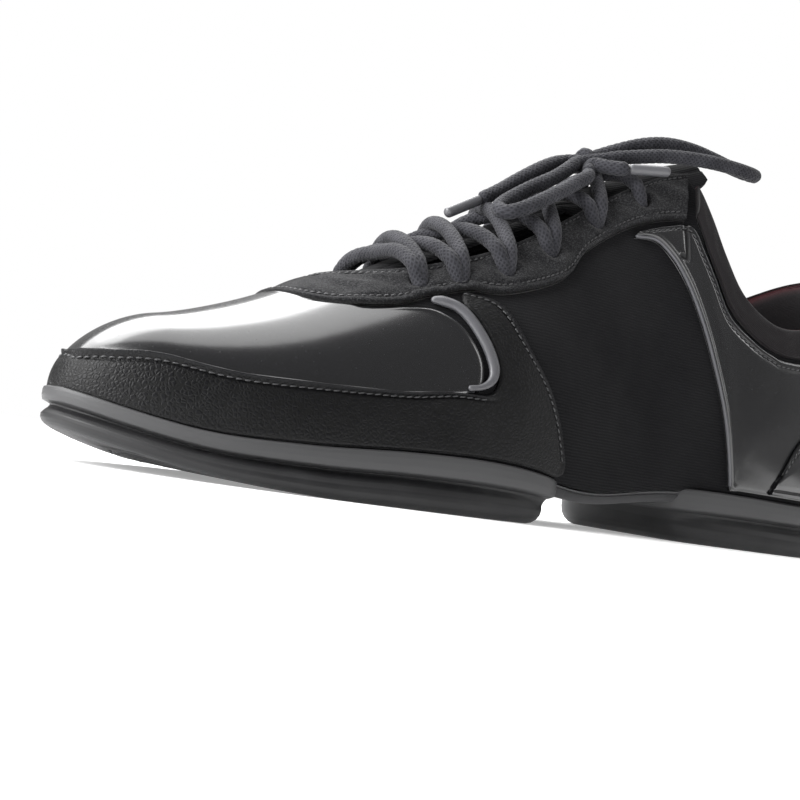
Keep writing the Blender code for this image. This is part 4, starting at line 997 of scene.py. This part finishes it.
# %% Tongue
TONGUE_FRONT, TONGUE_TOP = 0.235, 0.735
ways = np.linspace(TONGUE_FRONT, TONGUE_TOP, 130)[:, None]
opening = np.interp(ways, TOP_LINE[:, 0], 1 - TOP_LINE[:, 1])
reach = np.where(ways < 0.69, np.minimum(opening + 0.07, 0.36), 0.27)
reach = reach*np.sqrt(np.clip(1 - ((ways - 0.64)/0.115)**4, 0.25, 1))*step(0.15, 0.27, ways)
across = np.linspace(-1, 1, 49)[None, :]
puff = 0.0014*pillow(across)*rounded(TONGUE_TOP - ways, 0.015)
channels = 0.0004*hump(np.abs(across), 0.62, 0.05)
top_skin = on_last(ways, across*reach, -0.0026 + puff - channels)
low_skin = on_last(ways, across*reach, -0.0044 - 0.4*puff)
tongue = layer("tongue_padded", top_skin, low_skin, STRETCH_RIB, "stretch_textile")
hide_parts("tongue")

# %% [markdown]
# Inside the shoe lies a thin footbed. It is a sheet of foam covered with a brushed textile. Only its
# heel end shows, through the collar, so a flat sheet would nearly do, but it is a little dished under
# the heel, where a foot presses it. The same grid under the foot serves for the arch later on.

# %% Footbed
bed = Finish("footbed_brushed", Roughness=0.95, Sheen_Weight=0.3)
fuzz = bed.noise(1800, 3, 0.7)
FOOTBED = bed.set(Base_Color=bed.mix(fuzz, (0.010, 0.010, 0.011), (0.050, 0.050, 0.053)),
                  Normal=bed.bump(fuzz, 0.0003, 0.7))


def inner_width(station, side, inset):
    """Half width less an inset that holds round the ends too."""
    shift = inset/LAST_LENGTH
    towards_ends = np.where(station < 0.5, station - shift, station + shift)
    return half_width(np.clip(towards_ends, 0, 1), side) - inset


def plate(station, across, inset, lift):
    """Grid under the foot: between the two feather lines, at the feather's height plus lift."""
    lateral, medial = -inner_width(station, -1.0, inset), inner_width(station, 1.0, inset)
    y = lateral + (medial - lateral)*across
    return np.stack([plan_x(station) + 0*y, y, base_height(station, across) + lift], -1) + STAND


BED_INSET = 0.0034
ways = (0.5 - 0.484*np.cos(np.linspace(0, np.pi, 120)))[:, None]
across = np.linspace(0, 1, 41)[None, :]
dish = 0.0016*pillow(2*across - 1, 6) - 0.0006*hump(across, 0.5, 0.25)*step(0.6, 0.8, ways)
insole = layer("insole_footbed", plate(ways, across, BED_INSET, 0.0014 + dish),
               plate(ways, across, BED_INSET, 0.0006), FOOTBED, "footbed_textile")
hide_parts("insole")

# %% [markdown]
# The two rubber pads are moulded. Each is one loft of rings, from a spot under the pivot outwards
# over the tread, round the rolled edge, up the hollow side wall and over the rim. The tread has
# rings to turn on, arcs and a fine stipple; the rim is a band of paler, smoother rubber. The hollow
# side wall is painted near black as shade, where it curls under. Masks on the vertices tell the
# finish which of these it is on.

# %% Moulded rubber
rubber = Finish("moulded_rubber", Specular_IOR_Level=0.4)
band_mask, tread_mask = rubber.mask("rim"), rubber.mask("tread")
moat_mask, groove_shade_mask = rubber.mask("moat"), rubber.mask("groove")
stipple = rubber.noise(2700, 1, 0.4)
bloom = rubber.noise(38, 4, 0.6).ramp(0.35, 0.75)
scuff = rubber.noise(22, 5, 0.7, at=rubber.stretched(rubber.place(), (1.0, 3.0, 6.0))).ramp(0.62, 0.74)
# painted shade: the side wall keeps the near-black first colour as shade where it curls under; the rim band
# and the tread are paler rubber
rubber_colour = rubber.mix(band_mask, (0.010, 0.010, 0.011), (0.062, 0.062, 0.064))
rubber_colour = rubber.mix(tread_mask, rubber_colour, (0.056, 0.056, 0.058))
rubber_colour = rubber.mix(moat_mask*0.7, rubber_colour, (0.050, 0.038, 0.033))
# painted shade: the grooves of the tread are darkened to near black, in place of the shade inside them
rubber_colour = rubber.mix(groove_shade_mask*0.85, rubber_colour, (0.004, 0.004, 0.004))
rubber_colour = rubber.mix(bloom*0.15, rubber_colour, (0.090, 0.090, 0.092))
rubber_colour = rubber.mix(scuff*tread_mask*0.25, rubber_colour, (0.150, 0.146, 0.140))
stipple_height = stipple*(tread_mask*0.85 + 0.10)
RUBBER = rubber.set(Base_Color=rubber_colour, Roughness=bloom*0.12 + 0.46 + tread_mask*0.14,
                    Normal=rubber.bump(stipple_height, 0.00025, 0.8))

# %% Pad tables
FOREFOOT_PAD = np.array([
    # station, q, flare, roll
    (0.000, 0.00, 0.00, 0.16), (0.012, -1.00, 0.04, 0.18), (0.040, -1.00, 0.12, 0.20),
    (0.090, -1.00, 0.20, 0.20), (0.150, -1.00, 0.23, 0.20), (0.220, -1.00, 0.21, 0.20),
    (0.300, -1.00, 0.15, 0.20), (0.380, -1.00, 0.04, 0.20), (0.440, -1.00, -0.08, 0.22),
    (0.472, -0.97, -0.18, 0.26), (0.485, -0.80, -0.28, 0.28), (0.479, -0.52, -0.30, 0.26),
    (0.464, -0.25, -0.26, 0.24), (0.447, 0.04, -0.22, 0.24), (0.430, 0.32, -0.18, 0.24),
    (0.410, 0.60, -0.15, 0.24), (0.386, 0.85, -0.10, 0.22), (0.345, 0.985, -0.03, 0.18),
    (0.290, 1.00, 0.04, 0.16), (0.220, 1.00, 0.08, 0.18), (0.150, 1.00, 0.08, 0.18),
    (0.090, 1.00, 0.04, 0.18), (0.040, 1.00, 0.00, 0.16), (0.012, 1.00, 0.00, 0.16),
])
HEEL_PAD = np.array([
    (1.000, 0.00, 0.02, 0.30), (0.990, 1.00, 0.04, 0.28), (0.955, 1.00, 0.08, 0.24),
    (0.900, 1.00, 0.10, 0.22), (0.830, 1.00, 0.10, 0.22), (0.760, 1.00, 0.04, 0.24),
    (0.710, 0.99, -0.08, 0.28), (0.674, 0.88, -0.22, 0.34), (0.650, 0.56, -0.34, 0.40),
    (0.647, 0.10, -0.36, 0.42), (0.655, -0.35, -0.34, 0.40), (0.668, -0.75, -0.26, 0.36),
    (0.695, -0.98, -0.12, 0.30), (0.750, -1.00, 0.00, 0.25), (0.830, -1.00, 0.10, 0.22),
    (0.900, -1.00, 0.10, 0.22), (0.955, -1.00, 0.07, 0.24), (0.990, -1.00, 0.03, 0.28),
])
RIM_PROUD, SUNK = 0.0022, 0.0007
FOREFOOT_PIVOT, HEEL_PIVOT, PIVOT_RADIUS = (0.0665, 0.0135), (0.2287, 0.0), 0.0075
DIMPLE_DEPTH, MOAT_WIDTH, MOAT_DEPTH, GROOVE_DEPTH = 0.0008, 0.0036, 0.0014, 0.0012
print("rows of the pad outlines:", len(FOREFOOT_PAD), len(HEEL_PAD))


# %% Pad outlines
def closed_curve(rows, count):
    """Closed smooth curve through rows of values, read evenly along its length."""
    table = np.column_stack([np.arange(-3, len(rows) + 3), np.concatenate([rows[-3:], rows, rows[:3]])])
    fine = np.linspace(0, len(rows), 60*len(rows) + 1)
    values = np.stack([spline(table, fine, c + 1) for c in range(rows.shape[1])], -1)
    length = way_along(values[:, :2])
    return read_at(np.linspace(0, length[-1], count + 1)[:-1], length, values)


def pad_rim(rows, count):
    """Rim of a pad on the plan, its flare and roll in metres, and the way outwards."""
    station, q = rows[:, 0], rows[:, 1]
    side = np.where(q < 0, -1.0, 1.0)
    corners = np.column_stack([plan_x(station), q*half_width(station, side), rows[:, 2:]*SOLE_THICKNESS])
    curve = closed_curve(corners, count)
    tangent = unit(np.roll(curve[:, :2], -1, axis=0) - np.roll(curve[:, :2], 1, axis=0))
    outward = np.stack([tangent[:, 1], -tangent[:, 0]], -1)
    if np.sum(outward*(curve[:, :2] - curve[:, :2].mean(axis=0))) < 0:
        outward = -outward
    return curve[:, :2] + RIM_PROUD*outward, curve[:, 2], curve[:, 3], outward


def pad_heights(x, y):
    """Underside and top of the sole at places of the plan."""
    station = station_of(x)
    lateral, medial = half_width(station, -1.0), half_width(station, 1.0)
    across = np.clip((y + lateral)/np.maximum(lateral + medial, 0.004), 0, 1)
    return TOE_SPRING*spline(SOLE, station, 2), base_height(station, across) + SUNK


print("length of the forefoot pad:", np.round(np.ptp(pad_rim(FOREFOOT_PAD, 400)[0][:, 0]), 4))

# %% [markdown]
# Round each pivot the tread has rings, and further out arcs and dashes that spread like ripples. A
# Boolean could cut them into the pad, but it would break the clean grid. So a depth is worked out
# for every point of the underside, and the same numbers paint shade into the grooves in the finish.

# %% Tread grooves
FOREFOOT_GROOVES = np.array([
    # centre x, centre y, radius, from degree, to degree, half width in mm
    (0.0665, 0.0135, 0.0215, -180, 180, 0.55), (0.0665, 0.0135, 0.0288, -180, 180, 0.60),
    (0.0700, 0.0110, 0.0350, 100, 250, 0.50), (0.0720, 0.0080, 0.0400, 118, 205, 0.50),
    (0.0740, 0.0050, 0.0450, 150, 262, 0.50), (0.0770, 0.0020, 0.0500, 130, 190, 0.50),
    (0.0790, -0.0010, 0.0560, 160, 236, 0.50), (0.0820, -0.0040, 0.0620, 150, 205, 0.50),
    (0.0850, -0.0060, 0.0690, 172, 218, 0.50), (0.0760, 0.0180, 0.0340, -60, -5, 0.45),
    (0.0780, 0.0160, 0.0420, -82, -28, 0.45), (0.0740, 0.0120, 0.0460, -115, -70, 0.45),
    (0.1010, -0.0120, 0.0085, -180, 180, 0.45), (0.1010, -0.0300, 0.0125, 20, 160, 0.45),
    (0.1010, 0.0060, 0.0125, -160, -20, 0.45),
])
HEEL_GROOVES = np.array([
    (0.2287, 0.0000, 0.0190, -180, 180, 0.50), (0.2287, 0.0000, 0.0232, -180, 180, 0.55),
    (0.2250, 0.0000, 0.0290, 110, 250, 0.50), (0.2210, 0.0000, 0.0310, 125, 175, 0.50),
    (0.2210, 0.0000, 0.0310, 190, 238, 0.50), (0.2160, 0.0000, 0.0330, 118, 168, 0.50),
    (0.2160, 0.0000, 0.0330, 200, 240, 0.50), (0.2050, 0.0130, 0.0150, 120, 200, 0.50),
    (0.2050, -0.0130, 0.0150, 160, 245, 0.50), (0.2250, 0.0060, 0.0300, 60, 105, 0.45),
    (0.2250, -0.0060, 0.0300, -105, -60, 0.45),
])


def groove_depth(x, y, grooves):
    """Depth shares of ring-shaped grooves: a bell across each ring, cut at its two angles."""
    depth = np.zeros_like(x)
    for cx, cy, radius, start, end, half in grooves:
        away = np.hypot(x - cx, y - cy) - radius
        angle = np.degrees(np.arctan2(y - cy, x - cx))
        angle = np.where(angle < start, angle + 360, angle)
        whole_ring = end - start == 360
        inside = 1.0 if whole_ring else step(0, 3, angle - start)*step(0, 3, end - angle)
        depth = np.maximum(depth, hump(away, 0, half/1000)*inside)
    return depth


print("grooves:", len(FOREFOOT_GROOVES), "and", len(HEEL_GROOVES))

# %% Side wall of a pad
WALLS = np.array([
    # inset as a share of the roll, mix from tread to rim, inset as a share of RIM_PROUD, height, rim band
    (1.00, 0.00, 0.00, 0.000, 0), (0.62, 0.00, 0.00, 0.030, 0), (0.30, 0.00, 0.00, 0.100, 0),
    (0.08, 0.00, 0.00, 0.200, 0), (0.00, 0.05, 0.10, 0.300, 0), (0.00, 0.30, 0.45, 0.400, 0),
    (0.00, 0.62, 0.75, 0.460, 0), (0.00, 0.88, 0.92, 0.520, 0), (0.00, 1.00, 0.88, 0.560, 0.1),
    (0.00, 1.00, 0.42, 0.595, 0.5), (0.00, 1.00, 0.05, 0.635, 1), (0.00, 1.00, -0.06, 0.760, 1),
    (0.00, 1.00, -0.04, 0.900, 1), (0.00, 1.00, 0.06, 0.965, 1), (0.00, 1.00, 0.40, 1.000, 0.6),
    (0.00, 1.00, 1.40, 1.000, 0),
])
print("rows of the side wall:", len(WALLS))


# %% Loft of a pad
def make_pad(name, rows, count, pivot, moat, grooves):
    """Loft of rings: the dimple, the moat round the pivot, the tread with its grooves, the rolled
    edge, the hollow wall and the rim. Each wall ring is a mix of the tread's and the rim's outline."""
    rim, flare, roll, outward = pad_rim(rows, count)
    tread, centre = rim + flare[:, None]*outward, np.array(pivot)
    spoke = unit(tread - centre)
    # underside: the dimple, the flat round it, the moat, then straight out to the rolled edge
    dimple, ditch = np.array([0.0004, 0.3, 0.5, 0.6, 0.75, 0.9, 1.0]), np.linspace(0, 1, 14)
    outwards_share = np.linspace(0, 1, 60)[1:, None, None]
    flat = np.linspace(PIVOT_RADIUS + 0.0004, moat - MOAT_WIDTH - 0.0001, 6)
    radii = np.concatenate([dimple*PIVOT_RADIUS, flat, moat - MOAT_WIDTH*(1 - ditch)])
    depths = np.concatenate([DIMPLE_DEPTH*step(1.0, 0.6, dimple), np.zeros(len(flat)),
                             MOAT_DEPTH*step(0, 0.25, ditch)*step(1, 0.75, ditch),
                             np.zeros(len(outwards_share))])
    round_moat, rolled_in = centre + moat*spoke, tread - outward*roll[:, None]
    plan = np.concatenate([centre + radii[:, None, None]*spoke,
                           round_moat + (rolled_in - round_moat)*outwards_share])
    cuts = groove_depth(plan[..., 0], plan[..., 1], grooves)
    under = pad_heights(plan[..., 0], plan[..., 1])[0] + depths[:, None] + GROOVE_DEPTH*cuts
    # wall: the rows of WALLS read at 60 steps
    along_wall = np.linspace(0, len(WALLS) - 1, 61)[1:]
    rolled, mix, inset, height, on_rim = read_at(along_wall, np.arange(len(WALLS)), WALLS).T[..., None]
    wall = tread + (rim - tread)*mix[..., None] - outward*(rolled*roll + inset*RIM_PROUD)[..., None]
    low, high = pad_heights(wall[..., 0], wall[..., 1])
    # top: the last wall ring drawn in to the centre
    lid = centre + (wall[-1] - centre)*np.array([0.7, 0.3, 0.002])[:, None, None]
    rings = np.concatenate([np.dstack([plan, under]), np.dstack([wall, low + (high - low)*height]),
                            np.dstack([lid, pad_heights(lid[..., 0], lid[..., 1])[1]])]) + STAND
    rings[0], rings[-1] = rings[0].mean(axis=0), rings[-1].mean(axis=0)
    # masks: one number for each ring, apart from the grooves
    tread_rings, others = len(plan), len(wall) + len(lid)
    ring_masks = {"rim": [np.zeros(tread_rings), on_rim[:, 0], np.zeros(len(lid))],
                  "moat": [depths/MOAT_DEPTH, np.zeros(others)],
                  "tread": [np.ones(tread_rings), step(7, 0, np.arange(others))]}
    masks = {key: np.repeat(np.concatenate(values), count) for key, values in ring_masks.items()}
    # the groove depths also drive the painted shade of the grooves in the finish
    masks["groove"] = np.concatenate([cuts.ravel(), np.zeros(others*count)])
    cloud = rings.reshape(-1, 3)
    return make_piece(name, cloud, outwards(cloud, quads_of(len(rings), count, around=True)), RUBBER,
                      masks=masks)


# %% The two pads
forefoot = make_pad("forefoot_pad", FOREFOOT_PAD, 380, FOREFOOT_PIVOT, 0.0164, FOREFOOT_GROOVES)
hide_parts("forefoot_outsole")
heel = make_pad("heel_pad", HEEL_PAD, 320, HEEL_PIVOT, 0.0150, HEEL_GROOVES)
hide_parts("heel_outsole")

# %% [markdown]
# The arch between the pads is a thin smooth piece that bends with the foot. A strip of even thickness
# would do, but its ends follow the rims of the pads, its sides are rounded and a low ridge runs along
# the middle. The finish is soft and matt, with a slight bloom in the rubber.

# %% Arch rubber
arch_finish = Finish("arch_rubber", Specular_IOR_Level=0.4)
haze = arch_finish.noise(30, 4, 0.6).ramp(0.3, 0.75)
matt = arch_finish.noise(2200, 2)
arch_colour = arch_finish.mix(haze, (0.050, 0.050, 0.052), (0.070, 0.070, 0.073))
ARCH_RUBBER = arch_finish.set(Base_Color=arch_colour, Roughness=haze*0.14 + 0.48,
                              Normal=arch_finish.bump(matt, 0.00006, 0.6))

# %% Arch
ARCH_INSET, RIM_GAP = 0.0003, 0.0010
across, lengthwise = np.linspace(0, 1, 61), np.linspace(0, 1, 81)[:, None]
ends = []
for rows, first_guess, direction in ((FOREFOOT_PAD, 0.44, 1), (HEEL_PAD, 0.67, -1)):
    # the station at which each line along the arch meets the pad's rim, in a few better guesses
    station = np.full(len(across), first_guess)
    rim, _, _, outward = pad_rim(rows, 400)
    facing = rim[outward[:, 0]*direction > 0.25]
    facing = facing[np.argsort(facing[:, 1])]
    for _ in range(8):
        lateral, medial = half_width(station, -1.0), half_width(station, 1.0)
        x = np.interp((lateral + medial)*across - lateral, facing[:, 1], facing[:, 0])
        station = station_of(x - direction*RIM_GAP)
    ends.append(station)
ways = ends[0] + (ends[1] - ends[0])*lengthwise
edge_in = rounded(np.minimum(across, 1 - across)*0.06, 0.0022)
ridge = 0.0006*hump(across, 0.5, 0.20)*step(0, 0.2, lengthwise)
arch = layer("arch_shank", plate(ways, across[None, :], ARCH_INSET, -0.0012 - 0.0024*edge_in - ridge),
             plate(ways, across[None, :], ARCH_INSET, -0.0004), ARCH_RUBBER, "smooth_rubber")
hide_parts("arch_bridge")

# %% [markdown]
# The lace runs from eyelet to eyelet: a straight bar at the front, then crossings all the way up.
# Each run rises out of one hole, lies over the suede, sags over the tongue and dips into the next
# hole. Joining them into one body isn't needed here, because they may touch. The runs stay
# separate bodies and are not joined into one.

# %% One run of lace
def lace_run(start, end, over):
    """Run of lace between two eyelets: a straight line on the last, lifted off the suede, lower over
    the tongue, and turning down into the holes at its two ends."""
    share = np.linspace(-0.05, 1.05, 110)
    station = start[0] + (end[0] - start[0])*share
    q = start[1] + (end[1] - start[1])*share
    opening = 1 - np.interp(station, TOP_LINE[:, 0], TOP_LINE[:, 1])
    inside = step(0, 1, 1 - np.abs(q)/opening)
    lift = 0.0021 + LACE/2 + (over - 0.0026)*inside
    into = step(0.09, -0.05, share) + step(0.91, 1.05, share)
    return on_last(station, q, lift - 0.0050*into), last_normal(station, q)


# %% Lace through the eyelets
lateral_holes, medial_holes = (np.column_stack([EYELETS[:, 0], side*(1 - EYELETS[:, 1])])
                               for side, _ in SIDES)
crossings = [(lateral_holes[0], medial_holes[0], 0.0002)]
apart = np.array([0.0026, 0.0])
for i in range(len(EYELETS) - 1):
    crossings.append((lateral_holes[i] + apart, medial_holes[i + 1] - apart, 0.0026))
    crossings.append((medial_holes[i] + apart, lateral_holes[i + 1] - apart, -0.0002))
for number, (start, end, over) in enumerate(crossings):
    path, normals = lace_run(start, end, over)
    run = tube(f"lace_crossing_{number}", path, LACE/2, LACE_BRAID, around=24,
               towards=normals, braid=0.05)
    if number == 0:
        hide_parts("lace_bars")

# %% [markdown]
# Stitches are short slanting loops of waxed thread. An array modifier on a curve could repeat one
# along a seam. But there are hundreds, so each is a small capsule of a few dozen faces, and one
# array operation sets them all at an even pitch, upright on the surface.

# %% Thread
thread = Finish("waxed_thread", Coat_Weight=0.2)
ply = thread.noise(3000, 2)
THREAD = thread.set(Base_Color=thread.mix(ply, (0.014, 0.014, 0.015), (0.060, 0.060, 0.063)),
                    Roughness=ply*0.2 + 0.45, Normal=thread.bump(ply, 0.00006))


# %% Stitches along a seam
def stitches(name, seams, pitch, length, radius):
    """Capsules along seams. Each seam is a path and its normals. A capsule is a ring profile, the
    circle's cosine and sine, times a half ellipse, set on the seam's own three directions."""
    turn = np.linspace(0, 2*np.pi, 7)[:-1]
    s = np.array([-1, -0.85, -0.4, 0.4, 0.85, 1])
    fat = pillow(s) + 0.02
    wide = np.cos(turn)*fat[:, None]*radius
    tall = np.sin(turn)*fat[:, None]*radius - 0.4*radius*s[:, None]**2
    local = np.dstack([np.broadcast_to(s[:, None]*length/2, wide.shape), wide, tall]).reshape(-1, 3)
    face = quads_of(6, 6, around=True)
    caps = np.array([(0, 1, 2, 3), (0, 3, 4, 5), (30, 33, 32, 31), (30, 35, 34, 33)])
    points = []
    for path, normals in seams:
        way = way_along(path)
        place = np.arange(pitch/2, way[-1], pitch)
        centre, up = read_at(place, way, path), read_at(place, way, normals)
        forward = unit(read_at(place + 3e-4, way, path) - read_at(place - 3e-4, way, path))
        slanted = unit(forward + 0.16*unit(np.cross(up, forward)))
        axes = np.stack([slanted, np.cross(up, slanted), up], 1)
        points.append(centre[:, None] + np.einsum("ki,nij->nkj", local, axes))
    points = np.concatenate(points)
    starts = np.arange(len(points))[:, None, None]*len(local)
    quads = (np.concatenate([face, caps])[None] + starts).reshape(-1, 4)
    cloud = points.reshape(-1, 3)
    return make_piece(name, cloud, outwards(cloud, quads), THREAD, weld=1e-7)


def seam_of(band, where, distance, lift, from_high=True):
    """Both halves of a seam at a distance from one edge of a band, on the rows where it runs."""
    share = np.clip(distance/band.width[:, 0], 0, 1)
    share = (1 - share if from_high else share)[:, None]
    station, v = (c[:, 0][where] for c in band.at(share))
    return [(on_last(station, q, lift), last_normal(station, q)) for q in (v - 1, 1 - v)]


# %% All the seams
SEAMS = (
    # name, slot, band, rows, from the high edge, distance from it, lift, pitch, length, radius
    ("guard_top", "grained_leather", guard, guard.row > 5.2, True,
     (0.0027, 0.0014, 0.0021, 0.0016, 0.00026)),
    ("guard_rear", "grained_leather", guard, guard.row < 4.8, False,
     (0.0020, 0.0015, 0.0019, 0.0014, 0.00024)),
    ("eyestay", "suede_leather", stay, stay.row > 0.2, False,
     (0.0024, 0.0017, 0.0019, 0.0014, 0.00022)),
    ("eyestay_top", "suede_leather", stay, stay.row > 0.2, True,
     (0.0024, 0.0017, 0.0019, 0.0014, 0.00022)),
    ("quarter", "patent_leather", quarter_band, quarter_band.row > 0.4, True,
     (0.0022, 0.0016, 0.0020, 0.0015, 0.00022)),
    ("counter", "patent_leather", counter_band, counter_band.row > 0.2, True,
     (0.0021, 0.0029, 0.0019, 0.0014, 0.00022)),
)
for name, slot, band, rows, from_high, (distance, lift, pitch, length, radius) in SEAMS:
    seams = seam_of(band, rows, distance, lift, from_high)
    stitches(f"{name}_stitches", seams, pitch, length, radius)

# %% [markdown]
# The set is a pale floor that runs out of sight in front of a white background, which is the world.
# The room itself is dim, so the black shoe stays black: the world is white only where it is looked at
# directly. One large softbox hangs high on the medial side, for the long white reflection on the patent
# toe. A second one stands in front of the toe and a weak one behind the heel, so that the dark sides
# keep their form. A wide ceiling light, which is a sun with a large angle, and a faint glow of the floor
# keep the floor evenly pale into the distance.

# %% World
world = bpy.data.worlds.new("dim_room")
bpy.context.scene.world = world
world.use_nodes = True
sky = world.node_tree.nodes["Background"]
sky.inputs["Color"].default_value = (1.0, 1.0, 1.0, 1)
rays = world.node_tree.nodes.new("ShaderNodeLightPath")
seen = world.node_tree.nodes.new("ShaderNodeMapRange")
seen.inputs["To Min"].default_value, seen.inputs["To Max"].default_value = 0.26, 1.0
world.node_tree.links.new(rays.outputs["Is Camera Ray"], seen.inputs["Value"])
world.node_tree.links.new(seen.outputs["Result"], sky.inputs["Strength"])
print("world: white where it is seen, dim as light")

# %% Floor
FLOOR_REACH = 6.0
floor_finish = Finish("pale_floor", Roughness=0.7, Emission_Strength=0.3)
floor_colour = floor_finish.mix(floor_finish.noise(3, 2), (0.86, 0.86, 0.86), (0.90, 0.90, 0.90))
floor_mesh = bpy.data.meshes.new("floor")
corners = [(x*FLOOR_REACH, y*FLOOR_REACH, 0) for x, y in ((-1, -1), (1, -1), (1, 1), (-1, 1))]
floor_mesh.from_pydata(corners, [], [(0, 1, 2, 3)])
floor_mesh.materials.append(floor_finish.set(Base_Color=floor_colour))
floor = in_scene("floor", floor_mesh)


# %% Lamps
def softbox(name, place, aim, size, power):
    """Rectangular lamp at a place, turned towards a point."""
    lamp = bpy.data.lights.new(name, "AREA")
    lamp.shape, lamp.size, lamp.size_y, lamp.energy = "RECTANGLE", size[0], size[1], power
    box = in_scene(name, lamp)
    away = unit(np.array(place, float) - np.array(aim, float))
    flat = unit(np.cross((0, 0, 1.0), away))
    up = np.cross(away, flat)
    box.matrix_world = Matrix([(flat[i], up[i], away[i], place[i]) for i in range(3)] + [(0, 0, 0, 1)])


softbox("top_softbox", (-0.15, 0.72, 1.00), (-0.02, 0, 0.05), (1.6, 0.8), 17)
softbox("toe_softbox", (-1.00, 0.05, 0.55), (-0.10, 0, 0.04), (0.6, 0.8), 19)
softbox("heel_softbox", (1.10, -0.50, 0.75), (0.08, 0, 0.04), (0.25, 0.9), 2)
sun = bpy.data.lights.new("ceiling", "SUN")
sun.energy, sun.angle = 2.0, math.radians(60)
ceiling = in_scene("ceiling", sun)
ceiling.matrix_world = Matrix(((1, 0, 0, 0), (0, 0.94, 0.34, 0.5), (0, -0.34, 0.94, 1.5), (0, 0, 0, 1)))
print("floor, room, ceiling and three softboxes")
